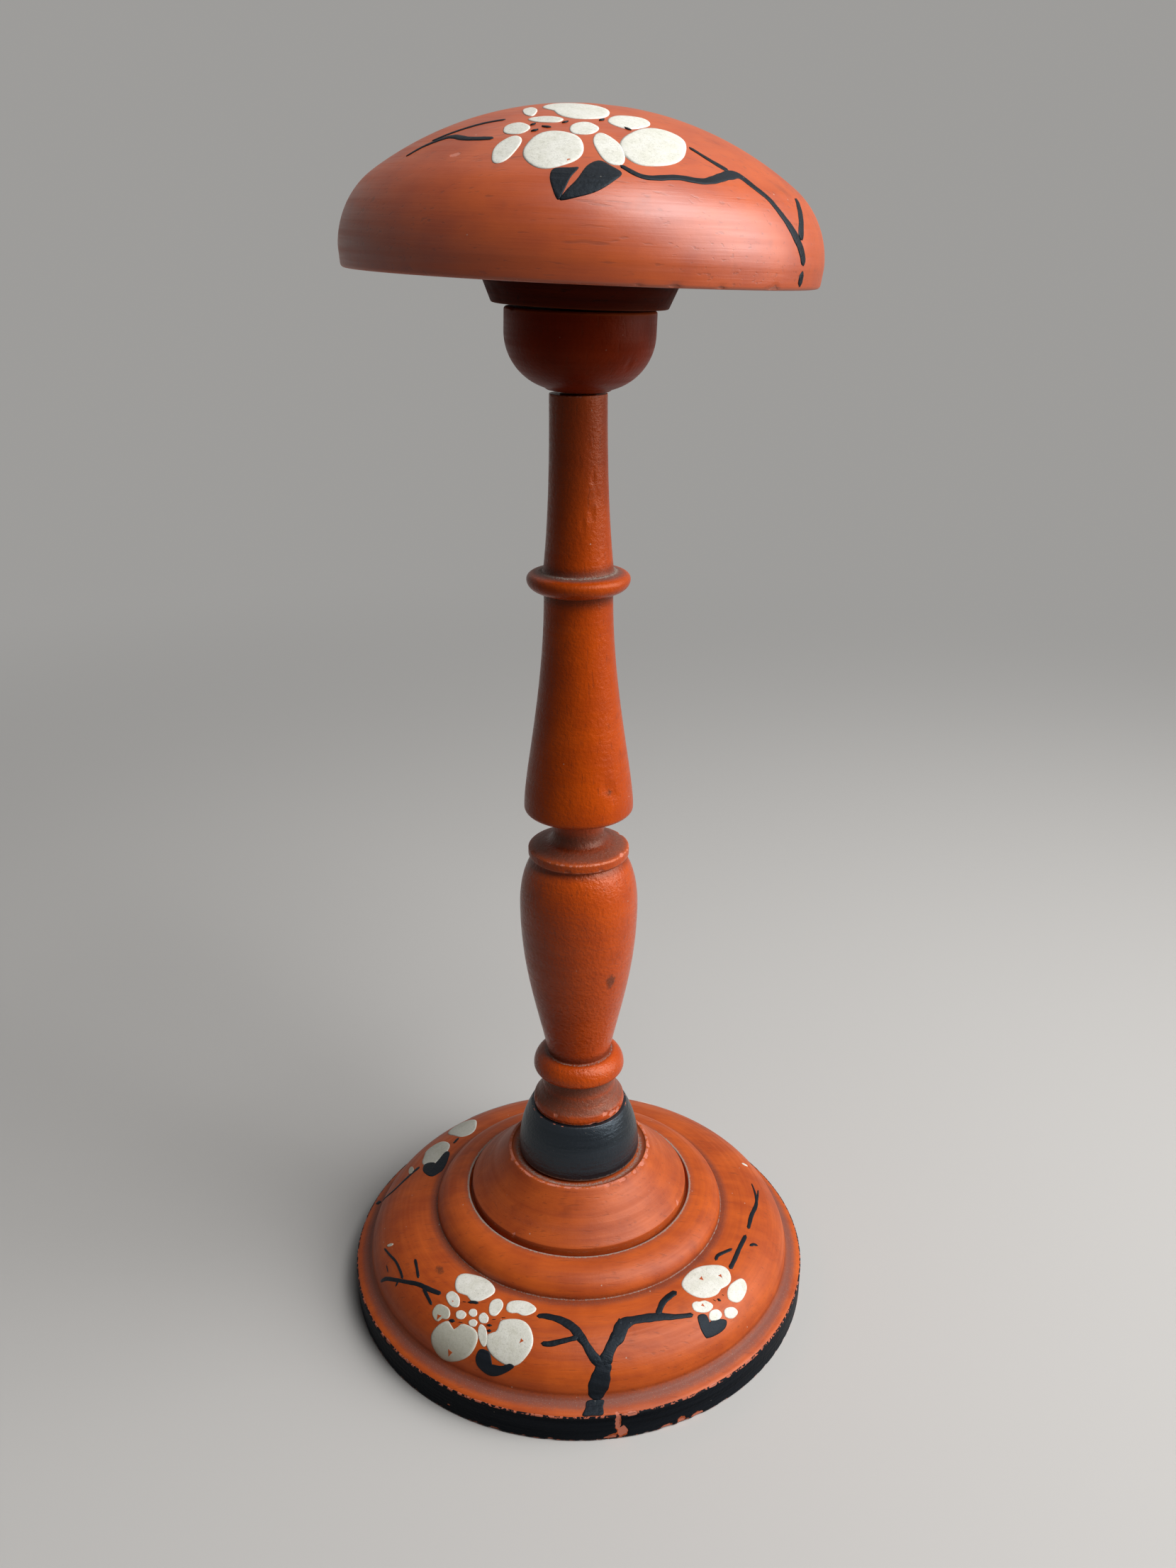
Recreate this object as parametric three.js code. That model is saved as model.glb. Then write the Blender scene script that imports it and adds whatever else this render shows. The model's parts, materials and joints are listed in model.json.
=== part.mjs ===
// A turned wooden hat stand: round stepped base, stem in two halves, cup and mushroom cap.
// Millimetres, +Z up, with the origin at the middle of the base's underside.
// The front faces -Y, and the cup and cap lean a little towards +X.
import * as THREE from "three";

// Base: a black rim band, a narrow ledge, a wide rounded flange and a roll round the collar
const BASE_RADIUS = 62.5;
const BAND_HEIGHT = 8;
const BAND_CORNER = 0.5;
const LEDGE_WIDTH = 3.6;
const LEDGE_RISE = 1.2;
const QUIRK_WIDTH = 0.8;
const QUIRK_RISE = 1;
const FLANGE_RISE = 12.3;
const ROLL_WIDTH = 9;
const ROLL_RISE = 6;
const CREVICE_WIDTH = 1;
const CREVICE_DEPTH = 1.6;

// Collar: a cone-shaped disc with a shallow dish on top, glued into the base by its own tenon
const COLLAR_RADIUS = 29.5;
const COLLAR_EDGE = 3.4;
const COLLAR_CORNER = 0.5;
const COLLAR_RISE = 10.4;
const COLLAR_HOLLOW = 0.6;
const LIP_WIDTH = 0.7;
const DISH_MARGIN = 2.1;
const DISH_WIDTH = 2.2;
const DISH_DEPTH = 0.8;
const COLLAR_TENON_RADIUS = 14;
const COLLAR_TENON_LENGTH = 10;

// Black foot of the stem: a dome that stands in the collar's dish
const FOOT_RADIUS = 16.3;
const FOOT_CORNER = 1.2;
const FOOT_HEIGHT = 15;
const FOOT_SHOULDER_RADIUS = 12.8;
const FOOT_SHOULDER_FLARE = 2.2;

// Lower half of the stem: disc with a hollow saucer on it, bead, vase, a second disc and the neck
const LOWER_DISC_RADIUS = 12.2;
const LOWER_DISC_EDGE = 2.4;
const LOWER_DISC_CORNER = 0.25;
const SAUCER_RISE = 8.4;
const SAUCER_NECK_RADIUS = 8.8;
const SAUCER_RIM_REACH = 1.25;
const SAUCER_NECK_FLARE = 0.4;
const BEAD_RADIUS = 12.05;
const BEAD_CORNER_WIDTH = 1.15;
const BEAD_CORNER_RISE = 1.2;
const BEAD_UNDER_RISE = 0.2;
const BEAD_SHOULDER_RISE = 4.4;
const VASE_FOOT_RADIUS = 8.3;
const VASE_FOOT_FLARE = 2.5;
const VASE_BELLY_RADIUS = 14.95;
const VASE_BELLY_RISE = 43.4;
const VASE_SHOULDER_RADIUS = 11.6;
const VASE_SHOULDER_FLARE = 2.2;
const VASE_SHOULDER_RISE = 13.2;
const GROOVE_HEIGHT = 0.5;
const UPPER_DISC_RADIUS = 12.6;
const UPPER_DISC_EDGE = 2.6;
const UPPER_DISC_CORNER = 0.5;
const UPPER_DISC_DISH = 1.1;
const NECK_RADIUS = 6.4;
const NECK_FILLET = 2.4;
const NECK_HEIGHT = 5.65;

// Upper half of the stem: flat-bottomed bulb, long taper, ring and a plain top
const BULB_RADIUS = 13.45;
const BULB_CORNER_WIDTH = 2.05;
const BULB_CORNER_RISE = 1.45;
const TAPER_LENGTH = 53.7;
const RING_ROOT_RADIUS = 8.1;
const RING_RADIUS = 12.1;
const RING_UNDER_RISE = 3;
const RING_CORNER_WIDTH = 1.6;
const RING_CORNER_RISE = 1.5;
const RING_TOP_SLOPE = 0.5;
const TOP_LENGTH = 39.2;
const TOP_ROOT_RADIUS = 8.2;
const TOP_ROOT_TAPER = 0.85;
const TOP_RADIUS = 6.5;

// Cup: glued on the tenon at the top of the stem, a little askew
const CUP_RADIUS = 16.5;
const CUP_HEIGHT = 17;
const CUP_BOWL_HEIGHT = 12;
const CUP_BOWL_CENTRE = 4.1;
const CUP_FOOT_RADIUS = 6.9;
const CUP_CORNER = 0.4;
const CUP_LEAN = 1.8;
const CUP_TENON_RADIUS = 4;
const CUP_TENON_LENGTH = 4;

// Boss and cap: they lean with the slack dowel that carries them in the cup
const BOSS_BOTTOM_RADIUS = 19;
const BOSS_TOP_RADIUS = 21.4;
const BOSS_HEIGHT = 5.3;
const CAP_RADIUS = 50.6;
const CAP_RIM_RADIUS = 50.2;
const CAP_RIM_CORNER = 0.6;
const CAP_BELLY_RISE = 4.2;
const CAP_SHOULDER_ARC = 18;
const CAP_HEIGHT = 32.8;
const CAP_LEAN = 2.4;
const CAP_SIDE_SLIP = -0.2;

// Dowels, and the room that dowels and tenons have in their holes
const DOWEL_CORNER = 0.5;
const STEM_DOWEL_RADIUS = 5;
const STEM_DOWEL_GRIP = 7;
const NECK_DOWEL_RADIUS = 3;
const NECK_DOWEL_GRIP = 12;
const CAP_DOWEL_RADIUS = 5;
const CAP_DOWEL_DROP = 9;
const CAP_DOWEL_GRIP = 9;
const HOLE_CLEARANCE = 0.15;
const CAP_SOCKET_SLACK = 0.3;
const END_CLEARANCE = 0.5;
const SEAT_GAP = 0.3;
const GLUE_GAP = 0.3;

// How far each long curve keeps its end direction, as a share of the curve's own rise
const FOOT_SIDE_PULL = 0.4;
const FOOT_SHOULDER_PULL = 0.28;
const SAUCER_RIM_PULL = 0.13;
const SAUCER_NECK_PULL = 0.52;
const VASE_FOOT_PULL = 0.3;
const VASE_BELLY_PULL = 0.42;
const VASE_SHOULDER_START_PULL = 0.4;
const VASE_SHOULDER_END_PULL = 0.2;
const TAPER_START_PULL = 0.16;
const TAPER_END_PULL = 0.44;
const TOP_START_PULL = 0.2;
const TOP_END_PULL = 0.52;

// Facets round the wide pieces, the stem and the dowels, and steps along the curves
const WIDE_SIDES = 48;
const STEM_SIDES = 32;
const DOWEL_SIDES = 24;
const CORNER_STEPS = 3;
const FILLET_STEPS = 4;
const ROUND_STEPS = 5;
const ARC_STEPS = 7;
const LONG_ARC_STEPS = 9;
const SWEEP_STEPS = 8;

const QUARTER_TURN = Math.PI / 2;
const cupLean = THREE.MathUtils.degToRad(CUP_LEAN);
const capLean = THREE.MathUtils.degToRad(CAP_LEAN);
const capAgainstCup = Math.abs(Math.sin(capLean - cupLean));

// Heights of the faces where one piece stands on the next, from the floor up
const flangeFoot = BAND_HEIGHT + LEDGE_RISE + QUIRK_RISE;
const rollFoot = flangeFoot + FLANGE_RISE;
const rollTop = rollFoot + ROLL_RISE;
const collarSeat = rollTop - CREVICE_DEPTH;
const lipHeight = collarSeat + COLLAR_EDGE + COLLAR_RISE;
const dishFloor = lipHeight - DISH_DEPTH;
const tenonEnd = collarSeat - COLLAR_TENON_LENGTH;
const footBottom = dishFloor + SEAT_GAP;
const footTop = footBottom + FOOT_HEIGHT;
const saucerRim = footTop + LOWER_DISC_EDGE;
const beadFoot = saucerRim + SAUCER_RISE;
const beadMiddle = beadFoot + BEAD_UNDER_RISE + BEAD_CORNER_RISE;
const vaseFoot = beadMiddle + BEAD_SHOULDER_RISE;
const vaseBelly = vaseFoot + VASE_BELLY_RISE;
const vaseTop = vaseBelly + VASE_SHOULDER_RISE;
const upperDiscBottom = vaseTop + GROOVE_HEIGHT;
const upperDiscTop = upperDiscBottom + UPPER_DISC_EDGE;
const neckTop = upperDiscTop + UPPER_DISC_DISH + NECK_FILLET + NECK_HEIGHT;
const bulbWaist = neckTop + BULB_CORNER_RISE;
const ringBottom = bulbWaist + TAPER_LENGTH;
const ringMiddle = ringBottom + RING_UNDER_RISE;
const ringEdge = ringMiddle + RING_CORNER_RISE;
const ringTop = ringEdge + RING_TOP_SLOPE;
const stemTop = ringTop + TOP_LENGTH;

// In the cap's own frame, the boss stands from 0 up and the cap starts above it
const capSeat = BOSS_HEIGHT + GLUE_GAP;

const lacquer = new THREE.MeshStandardMaterial({ color: 0xb4521c, roughness: 0.45 });
const blackPaint = new THREE.MeshStandardMaterial({ color: 0x171b21, roughness: 0.5 });
const darkStain = new THREE.MeshStandardMaterial({ color: 0x35140b, roughness: 0.6 });
const bareWood = new THREE.MeshStandardMaterial({ color: 0xc79b62, roughness: 0.8 });

// Points of an elliptical arc, with angles in quarter turns from the outward direction.
function arc(radius, height, across, up, fromQuarter, toQuarter, steps = ARC_STEPS) {
  const ellipse = new THREE.EllipseCurve(
    radius,
    height,
    across,
    up,
    fromQuarter * QUARTER_TURN,
    toQuarter * QUARTER_TURN,
    toQuarter < fromQuarter,
  );
  return ellipse.getPoints(steps).map((point) => [point.x, point.y]);
}

// Points of a long sweep from start to end that leaves and arrives by two handles.
function sweep(start, startHandle, endHandle, end) {
  const [a, b, c, d] = [start, startHandle, endHandle, end].map(([r, z]) => new THREE.Vector2(r, z));
  return new THREE.CubicBezierCurve(a, b, c, d).getPoints(SWEEP_STEPS).map((point) => [point.x, point.y]);
}

// A piece turned on the lathe: the outline is a list of [radius, height] points.
function turned(name, outline, sides, material) {
  const points = outline.map(([r, z]) => new THREE.Vector2(Math.max(r, 0), z));
  const geometry = new THREE.LatheGeometry(points, sides).rotateX(QUARTER_TURN);
  const mesh = new THREE.Mesh(geometry, material);
  mesh.name = name;
  return mesh;
}

// A piece with a hole right through it: its outline returns to where it began.
function turnedRing(name, outline, sides, material) {
  return turned(name, [...outline, outline[0]], sides, material);
}

// A plain round dowel with its end corners cut off.
function dowel(name, radius, bottom, top) {
  const outline = [
    [0, bottom],
    [radius - DOWEL_CORNER, bottom],
    [radius, bottom + DOWEL_CORNER],
    [radius, top - DOWEL_CORNER],
    [radius - DOWEL_CORNER, top],
    [0, top],
  ];
  return turned(name, outline, DOWEL_SIDES, bareWood);
}

// The base: one wide turning with a blind socket in the middle for the collar's tenon.
function base() {
  const ledgeInner = BASE_RADIUS - LEDGE_WIDTH;
  const flangeRadius = ledgeInner - QUIRK_WIDTH;
  const rollInner = COLLAR_RADIUS + CREVICE_WIDTH;
  const rollOuter = rollInner + ROLL_WIDTH;
  const socketRadius = COLLAR_TENON_RADIUS + HOLE_CLEARANCE;
  const socketFloor = tenonEnd - END_CLEARANCE;
  return turned(
    "base",
    [
      [0, 0],
      [BASE_RADIUS - BAND_CORNER, 0],
      [BASE_RADIUS, BAND_CORNER],
      [BASE_RADIUS, BAND_HEIGHT - BAND_CORNER],
      [BASE_RADIUS - BAND_CORNER, BAND_HEIGHT],
      [ledgeInner, BAND_HEIGHT + LEDGE_RISE],
      [flangeRadius, flangeFoot],
      ...arc(rollOuter, flangeFoot, flangeRadius - rollOuter, FLANGE_RISE, 0, 1).slice(1),
      ...arc(rollInner, rollFoot, ROLL_WIDTH, ROLL_RISE, 0, 1).slice(1),
      [rollInner - CREVICE_WIDTH / 2, collarSeat],
      [socketRadius, collarSeat],
      [socketRadius, socketFloor],
      [0, socketFloor],
    ],
    WIDE_SIDES,
    lacquer,
  );
}

// The collar: edge, hollow cone, lip and dish outside, and the stem's socket down its middle.
function collar() {
  const socketRadius = STEM_DOWEL_RADIUS + HOLE_CLEARANCE;
  const edgeTop = collarSeat + COLLAR_EDGE;
  const dishEdge = FOOT_RADIUS + DISH_MARGIN;
  const lipRadius = dishEdge + LIP_WIDTH;
  const middleRadius = (COLLAR_RADIUS - COLLAR_CORNER + lipRadius) / 2;
  const middleHeight = (edgeTop + lipHeight) / 2;
  const fall = Math.atan2(COLLAR_RISE, COLLAR_RADIUS - lipRadius);
  const hollowRadius = middleRadius - COLLAR_HOLLOW * Math.sin(fall);
  const hollowHeight = middleHeight - COLLAR_HOLLOW * Math.cos(fall);
  return turnedRing(
    "collar",
    [
      [socketRadius, tenonEnd],
      [COLLAR_TENON_RADIUS, tenonEnd],
      [COLLAR_TENON_RADIUS, collarSeat],
      [COLLAR_RADIUS - COLLAR_CORNER, collarSeat],
      [COLLAR_RADIUS, collarSeat + COLLAR_CORNER],
      [COLLAR_RADIUS, edgeTop - COLLAR_CORNER],
      [COLLAR_RADIUS - COLLAR_CORNER, edgeTop],
      [hollowRadius, hollowHeight],
      [lipRadius, lipHeight],
      [dishEdge, lipHeight],
      ...arc(dishEdge - DISH_WIDTH, lipHeight, DISH_WIDTH, DISH_DEPTH, 0, -1, CORNER_STEPS).slice(1),
      [socketRadius, dishFloor],
    ],
    WIDE_SIDES,
    lacquer,
  );
}

// The black dome under the stem, bored through for the stem dowel.
function stemFoot() {
  const boreRadius = STEM_DOWEL_RADIUS + HOLE_CLEARANCE;
  const widest = footBottom + FOOT_CORNER;
  const domeHeight = footTop - widest;
  return turnedRing(
    "stem_foot",
    [
      [boreRadius, footBottom],
      ...arc(FOOT_RADIUS - FOOT_CORNER, widest, FOOT_CORNER, FOOT_CORNER, -1, 0, CORNER_STEPS),
      ...sweep(
        [FOOT_RADIUS, widest],
        [FOOT_RADIUS, widest + domeHeight * FOOT_SIDE_PULL],
        [FOOT_SHOULDER_RADIUS + FOOT_SHOULDER_FLARE, footTop - domeHeight * FOOT_SHOULDER_PULL],
        [FOOT_SHOULDER_RADIUS, footTop],
      ).slice(1),
      [boreRadius, footTop],
    ],
    STEM_SIDES,
    blackPaint,
  );
}

// The dowel that stands the stem in the collar, so that the stem turns and lifts out.
function stemDowel() {
  return dowel("stem_dowel", STEM_DOWEL_RADIUS, tenonEnd + END_CLEARANCE, footTop + STEM_DOWEL_GRIP);
}

// The lower stem: disc, saucer, bead, vase, second disc and neck, with a blind hole in each end.
function lowerStem() {
  const dowelHole = STEM_DOWEL_RADIUS + HOLE_CLEARANCE;
  const dowelHoleTop = footTop + STEM_DOWEL_GRIP + END_CLEARANCE;
  const neckHole = NECK_DOWEL_RADIUS + HOLE_CLEARANCE;
  const neckHoleFloor = neckTop - NECK_DOWEL_GRIP - END_CLEARANCE;
  const rimRadius = LOWER_DISC_RADIUS - LOWER_DISC_CORNER;
  const beadFlat = BEAD_RADIUS - BEAD_CORNER_WIDTH;
  const overBead = BEAD_RADIUS - VASE_FOOT_RADIUS;
  const neckFoot = neckTop - NECK_HEIGHT;
  return turned(
    "lower_stem",
    [
      [0, dowelHoleTop],
      [dowelHole, dowelHoleTop],
      [dowelHole, footTop],
      [rimRadius, footTop],
      [LOWER_DISC_RADIUS, footTop + LOWER_DISC_EDGE / 2],
      ...sweep(
        [rimRadius, saucerRim],
        [rimRadius - SAUCER_RIM_REACH, saucerRim + SAUCER_RISE * SAUCER_RIM_PULL],
        [SAUCER_NECK_RADIUS + SAUCER_NECK_FLARE, beadFoot - SAUCER_RISE * SAUCER_NECK_PULL],
        [SAUCER_NECK_RADIUS, beadFoot],
      ),
      ...arc(beadFlat, beadMiddle, BEAD_CORNER_WIDTH, BEAD_CORNER_RISE, -1, 0, CORNER_STEPS),
      ...arc(VASE_FOOT_RADIUS, beadMiddle, overBead, BEAD_SHOULDER_RISE, 0, 1, ROUND_STEPS).slice(1),
      ...sweep(
        [VASE_FOOT_RADIUS, vaseFoot],
        [VASE_FOOT_RADIUS + VASE_FOOT_FLARE, vaseFoot + VASE_BELLY_RISE * VASE_FOOT_PULL],
        [VASE_BELLY_RADIUS, vaseBelly - VASE_BELLY_RISE * VASE_BELLY_PULL],
        [VASE_BELLY_RADIUS, vaseBelly],
      ).slice(1),
      ...sweep(
        [VASE_BELLY_RADIUS, vaseBelly],
        [VASE_BELLY_RADIUS, vaseBelly + VASE_SHOULDER_RISE * VASE_SHOULDER_START_PULL],
        [VASE_SHOULDER_RADIUS + VASE_SHOULDER_FLARE, vaseTop - VASE_SHOULDER_RISE * VASE_SHOULDER_END_PULL],
        [VASE_SHOULDER_RADIUS, vaseTop],
      ).slice(1),
      [VASE_SHOULDER_RADIUS, upperDiscBottom],
      [UPPER_DISC_RADIUS - UPPER_DISC_CORNER, upperDiscBottom],
      [UPPER_DISC_RADIUS, upperDiscBottom + UPPER_DISC_CORNER],
      [UPPER_DISC_RADIUS, upperDiscTop - UPPER_DISC_CORNER],
      [UPPER_DISC_RADIUS - UPPER_DISC_CORNER, upperDiscTop],
      ...arc(NECK_RADIUS + NECK_FILLET, neckFoot, NECK_FILLET, NECK_FILLET, -1, -2, FILLET_STEPS),
      [NECK_RADIUS, neckTop],
      [neckHole, neckTop],
      [neckHole, neckHoleFloor],
      [0, neckHoleFloor],
    ],
    STEM_SIDES,
    lacquer,
  );
}

// The dowel glued between the two halves of the stem.
function neckDowel() {
  return dowel("neck_dowel", NECK_DOWEL_RADIUS, neckTop - NECK_DOWEL_GRIP, neckTop + NECK_DOWEL_GRIP);
}

// The upper stem: bulb, taper, ring and plain top, ending in the tenon that holds the cup.
function upperStem() {
  const neckHole = NECK_DOWEL_RADIUS + HOLE_CLEARANCE;
  const neckHoleTop = neckTop + NECK_DOWEL_GRIP + END_CLEARANCE;
  const bulbFlat = BULB_RADIUS - BULB_CORNER_WIDTH;
  const ringFlat = RING_RADIUS - RING_CORNER_WIDTH;
  const underRing = RING_RADIUS - RING_ROOT_RADIUS;
  return turned(
    "upper_stem",
    [
      [0, neckHoleTop],
      [neckHole, neckHoleTop],
      [neckHole, neckTop],
      ...arc(bulbFlat, bulbWaist, BULB_CORNER_WIDTH, BULB_CORNER_RISE, -1, 0, ROUND_STEPS),
      ...sweep(
        [BULB_RADIUS, bulbWaist],
        [BULB_RADIUS, bulbWaist + TAPER_LENGTH * TAPER_START_PULL],
        [RING_ROOT_RADIUS, ringBottom - TAPER_LENGTH * TAPER_END_PULL],
        [RING_ROOT_RADIUS, ringBottom],
      ).slice(1),
      ...arc(RING_ROOT_RADIUS, ringMiddle, underRing, RING_UNDER_RISE, -1, 0, ROUND_STEPS).slice(1),
      ...arc(ringFlat, ringMiddle, RING_CORNER_WIDTH, RING_CORNER_RISE, 0, 1, ROUND_STEPS).slice(1),
      ...sweep(
        [TOP_ROOT_RADIUS, ringTop],
        [TOP_ROOT_RADIUS - TOP_ROOT_TAPER, ringTop + TOP_LENGTH * TOP_START_PULL],
        [TOP_RADIUS, stemTop - TOP_LENGTH * TOP_END_PULL],
        [TOP_RADIUS, stemTop],
      ),
      [CUP_TENON_RADIUS, stemTop],
      [CUP_TENON_RADIUS, stemTop + CUP_TENON_LENGTH],
      [0, stemTop + CUP_TENON_LENGTH],
    ],
    STEM_SIDES,
    lacquer,
  );
}

// The cup, in its own leaning frame, with its underside at height 0.
// Its two holes are wider than what they hold by what the lean takes up.
function cup() {
  const tenonHole = CUP_TENON_RADIUS + HOLE_CLEARANCE + CUP_TENON_LENGTH * Math.sin(cupLean);
  const tenonHoleTop = CUP_TENON_LENGTH + END_CLEARANCE;
  const dowelSway = CAP_DOWEL_DROP * capAgainstCup + Math.abs(CAP_SIDE_SLIP);
  const socket = CAP_DOWEL_RADIUS + CAP_SOCKET_SLACK + dowelSway;
  const socketFloor = CUP_HEIGHT - CAP_DOWEL_DROP - END_CLEARANCE;
  const bowlWidth = CUP_RADIUS - CUP_BOWL_CENTRE;
  const footQuarter = -Math.acos((CUP_FOOT_RADIUS - CUP_BOWL_CENTRE) / bowlWidth) / QUARTER_TURN;
  const bowl = arc(
    CUP_BOWL_CENTRE,
    CUP_BOWL_HEIGHT,
    bowlWidth,
    CUP_BOWL_HEIGHT,
    footQuarter,
    0,
    LONG_ARC_STEPS,
  );
  return turned(
    "cup",
    [
      [0, tenonHoleTop],
      [tenonHole, tenonHoleTop],
      [tenonHole, 0],
      [CUP_FOOT_RADIUS, 0],
      ...bowl.slice(1),
      [CUP_RADIUS, CUP_HEIGHT - CUP_CORNER],
      [CUP_RADIUS - CUP_CORNER, CUP_HEIGHT],
      [socket, CUP_HEIGHT],
      [socket, socketFloor],
      [0, socketFloor],
    ],
    STEM_SIDES,
    lacquer,
  );
}

// The dark boss glued under the cap, in the cap's frame, with its underside at height 0.
function capBoss() {
  const bore = CAP_DOWEL_RADIUS + HOLE_CLEARANCE;
  return turnedRing(
    "cap_boss",
    [
      [bore, 0],
      [BOSS_BOTTOM_RADIUS, 0],
      [BOSS_TOP_RADIUS, BOSS_HEIGHT],
      [bore, BOSS_HEIGHT],
    ],
    WIDE_SIDES,
    darkStain,
  );
}

// The dowel that carries the cap in the cup, so that the cap turns and lifts off.
function capDowel() {
  return dowel("cap_dowel", CAP_DOWEL_RADIUS, -CAP_DOWEL_DROP, capSeat + CAP_DOWEL_GRIP);
}

// The cap, in the same frame: a flat underside, a short belly, a shoulder arc and a shallow dome.
function cap() {
  const bore = CAP_DOWEL_RADIUS + HOLE_CLEARANCE;
  const boreTop = capSeat + CAP_DOWEL_GRIP + END_CLEARANCE;
  const belly = capSeat + CAP_BELLY_RISE;
  const shoulderCentre = CAP_RADIUS - CAP_SHOULDER_ARC;
  const domeRise = CAP_HEIGHT - CAP_BELLY_RISE;
  // The dome is the one round arc that is level at the top and meets the shoulder arc smoothly.
  const domeReach = shoulderCentre ** 2 + domeRise ** 2 - CAP_SHOULDER_ARC ** 2;
  const domeRadius = domeReach / (2 * (domeRise - CAP_SHOULDER_ARC));
  const domeCentre = capSeat + CAP_HEIGHT - domeRadius;
  const meeting = Math.atan2(belly - domeCentre, shoulderCentre) / QUARTER_TURN;
  return turned(
    "cap",
    [
      [0, boreTop],
      [bore, boreTop],
      [bore, capSeat],
      [CAP_RIM_RADIUS - CAP_RIM_CORNER, capSeat],
      [CAP_RIM_RADIUS, capSeat + CAP_RIM_CORNER],
      ...arc(shoulderCentre, belly, CAP_SHOULDER_ARC, CAP_SHOULDER_ARC, 0, meeting),
      ...arc(0, domeCentre, domeRadius, domeRadius, meeting, 1, LONG_ARC_STEPS).slice(1),
    ],
    WIDE_SIDES,
    lacquer,
  );
}

// The cup's frame stands on the stem and leans, and the nearest edges keep the glue's gap.
const cupFrame = new THREE.Group();
const cupLift = GLUE_GAP + CUP_FOOT_RADIUS * Math.sin(cupLean);
cupFrame.position.set(0, 0, stemTop + cupLift);
cupFrame.rotation.y = cupLean;
cupFrame.add(cup());

// The cap's frame starts from the middle of the cup's top and leans a little further.
const capFrame = new THREE.Group();
const cupTop = stemTop + cupLift + CUP_HEIGHT * Math.cos(cupLean);
const capLift = SEAT_GAP + CUP_RADIUS * capAgainstCup;
capFrame.position.set(CUP_HEIGHT * Math.sin(cupLean) + CAP_SIDE_SLIP, 0, cupTop + capLift);
capFrame.rotation.y = capLean;
capFrame.add(capDowel(), capBoss(), cap());

const hatStand = new THREE.Group();
hatStand.add(
  base(),
  collar(),
  stemDowel(),
  stemFoot(),
  lowerStem(),
  neckDowel(),
  upperStem(),
  cupFrame,
  capFrame,
);

export default hatStand;
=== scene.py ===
import json
import math

import bpy
import numpy as np
from mathutils import Matrix, Vector


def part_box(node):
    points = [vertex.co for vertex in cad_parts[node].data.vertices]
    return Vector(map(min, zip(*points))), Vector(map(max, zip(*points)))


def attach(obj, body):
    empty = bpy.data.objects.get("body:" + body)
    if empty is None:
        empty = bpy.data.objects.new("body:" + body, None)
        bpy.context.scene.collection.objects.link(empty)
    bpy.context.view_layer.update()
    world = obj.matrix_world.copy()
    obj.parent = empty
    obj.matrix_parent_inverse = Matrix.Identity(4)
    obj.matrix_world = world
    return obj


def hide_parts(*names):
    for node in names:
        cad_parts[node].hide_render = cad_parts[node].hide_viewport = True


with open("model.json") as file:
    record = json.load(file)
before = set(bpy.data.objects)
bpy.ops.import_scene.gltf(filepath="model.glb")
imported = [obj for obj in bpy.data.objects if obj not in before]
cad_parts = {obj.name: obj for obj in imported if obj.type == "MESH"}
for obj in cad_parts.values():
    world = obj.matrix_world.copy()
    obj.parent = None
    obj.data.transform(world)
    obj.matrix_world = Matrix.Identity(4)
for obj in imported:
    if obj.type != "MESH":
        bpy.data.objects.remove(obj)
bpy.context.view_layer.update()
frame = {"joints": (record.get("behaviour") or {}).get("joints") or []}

# Camera
# It stands 300 mm in front of the stem, a little below the cap, and looks down over the base.
# Its place, dip and roll were fitted to the level rings of the real base and stem.
CAMERA_PLACE = (0.0023, -0.3008, 0.2712)
CAMERA_DIP = 22.34
CAMERA_ROLL = 0.126
camera_data = bpy.data.cameras.new("camera")
camera_data.sensor_width = 36
camera_data.lens = 30.48
camera_data.clip_start = 0.01
camera = bpy.data.objects.new("camera", camera_data)
bpy.context.scene.collection.objects.link(camera)
camera.matrix_world = (
    Matrix.Translation(CAMERA_PLACE)
    @ Matrix.Rotation(math.radians(90 - CAMERA_DIP), 4, "X")
    @ Matrix.Rotation(math.radians(CAMERA_ROLL), 4, "Z")
)
bpy.context.scene.camera = camera

# Base
# One wide turning: a black-painted rim band, a narrow ledge, a rounded flange and a roll round the
# collar. It is lacquered orange by brush, rubbed at its corners, and dust has settled in its quirks.
MM = 0.001
BAND_HEIGHT = 8
BAND_CORNER = 0.45
LEDGE_WIDTH = 3.6
LEDGE_RISE = 1.2
QUIRK_WIDTH = 0.8
QUIRK_RISE = 1
FLANGE_RISE = 12.3
ROLL_WIDTH = 9
CREVICE_WIDTH = 1
CREVICE_DEPTH = 1.6
BAND_PAINT = 0.1
BASE_BARE_MARGIN = 2.5
BASE_SCRAPE = 0.04
BASE_SIDES = 480


def arc(radius, height, across, up, from_quarter, to_quarter, steps=24):
    """Points of an elliptical arc, with angles in quarter turns from the outward direction."""
    turns = np.linspace(from_quarter, to_quarter, steps + 1) * math.pi / 2
    return [(radius + across * math.cos(a), height + up * math.sin(a)) for a in turns]


def sweep(start, start_handle, end_handle, end, steps=32):
    """Points of a long sweep that leaves and arrives by two handles."""
    t = np.linspace(0, 1, steps + 1)[:, None]
    a, b, c, d = (np.array(p, float) for p in (start, start_handle, end_handle, end))
    curve = a * (1 - t) ** 3 + 3 * b * t * (1 - t) ** 2 + 3 * c * t**2 * (1 - t) + d * t**3
    return [tuple(p) for p in curve]


def smoothed(values, width):
    """Values averaged under a bell of that width in samples, with both ends kept in place."""
    reach = int(4 * width) + 1
    bell = np.exp(-0.5 * (np.arange(-reach, reach + 1) / width) ** 2)
    before = 2 * values[0] - values[reach:0:-1]
    after = 2 * values[-1] - values[-2 : -reach - 2 : -1]
    return np.convolve(np.concatenate([before, values, after]), bell / bell.sum(), "valid")


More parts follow.
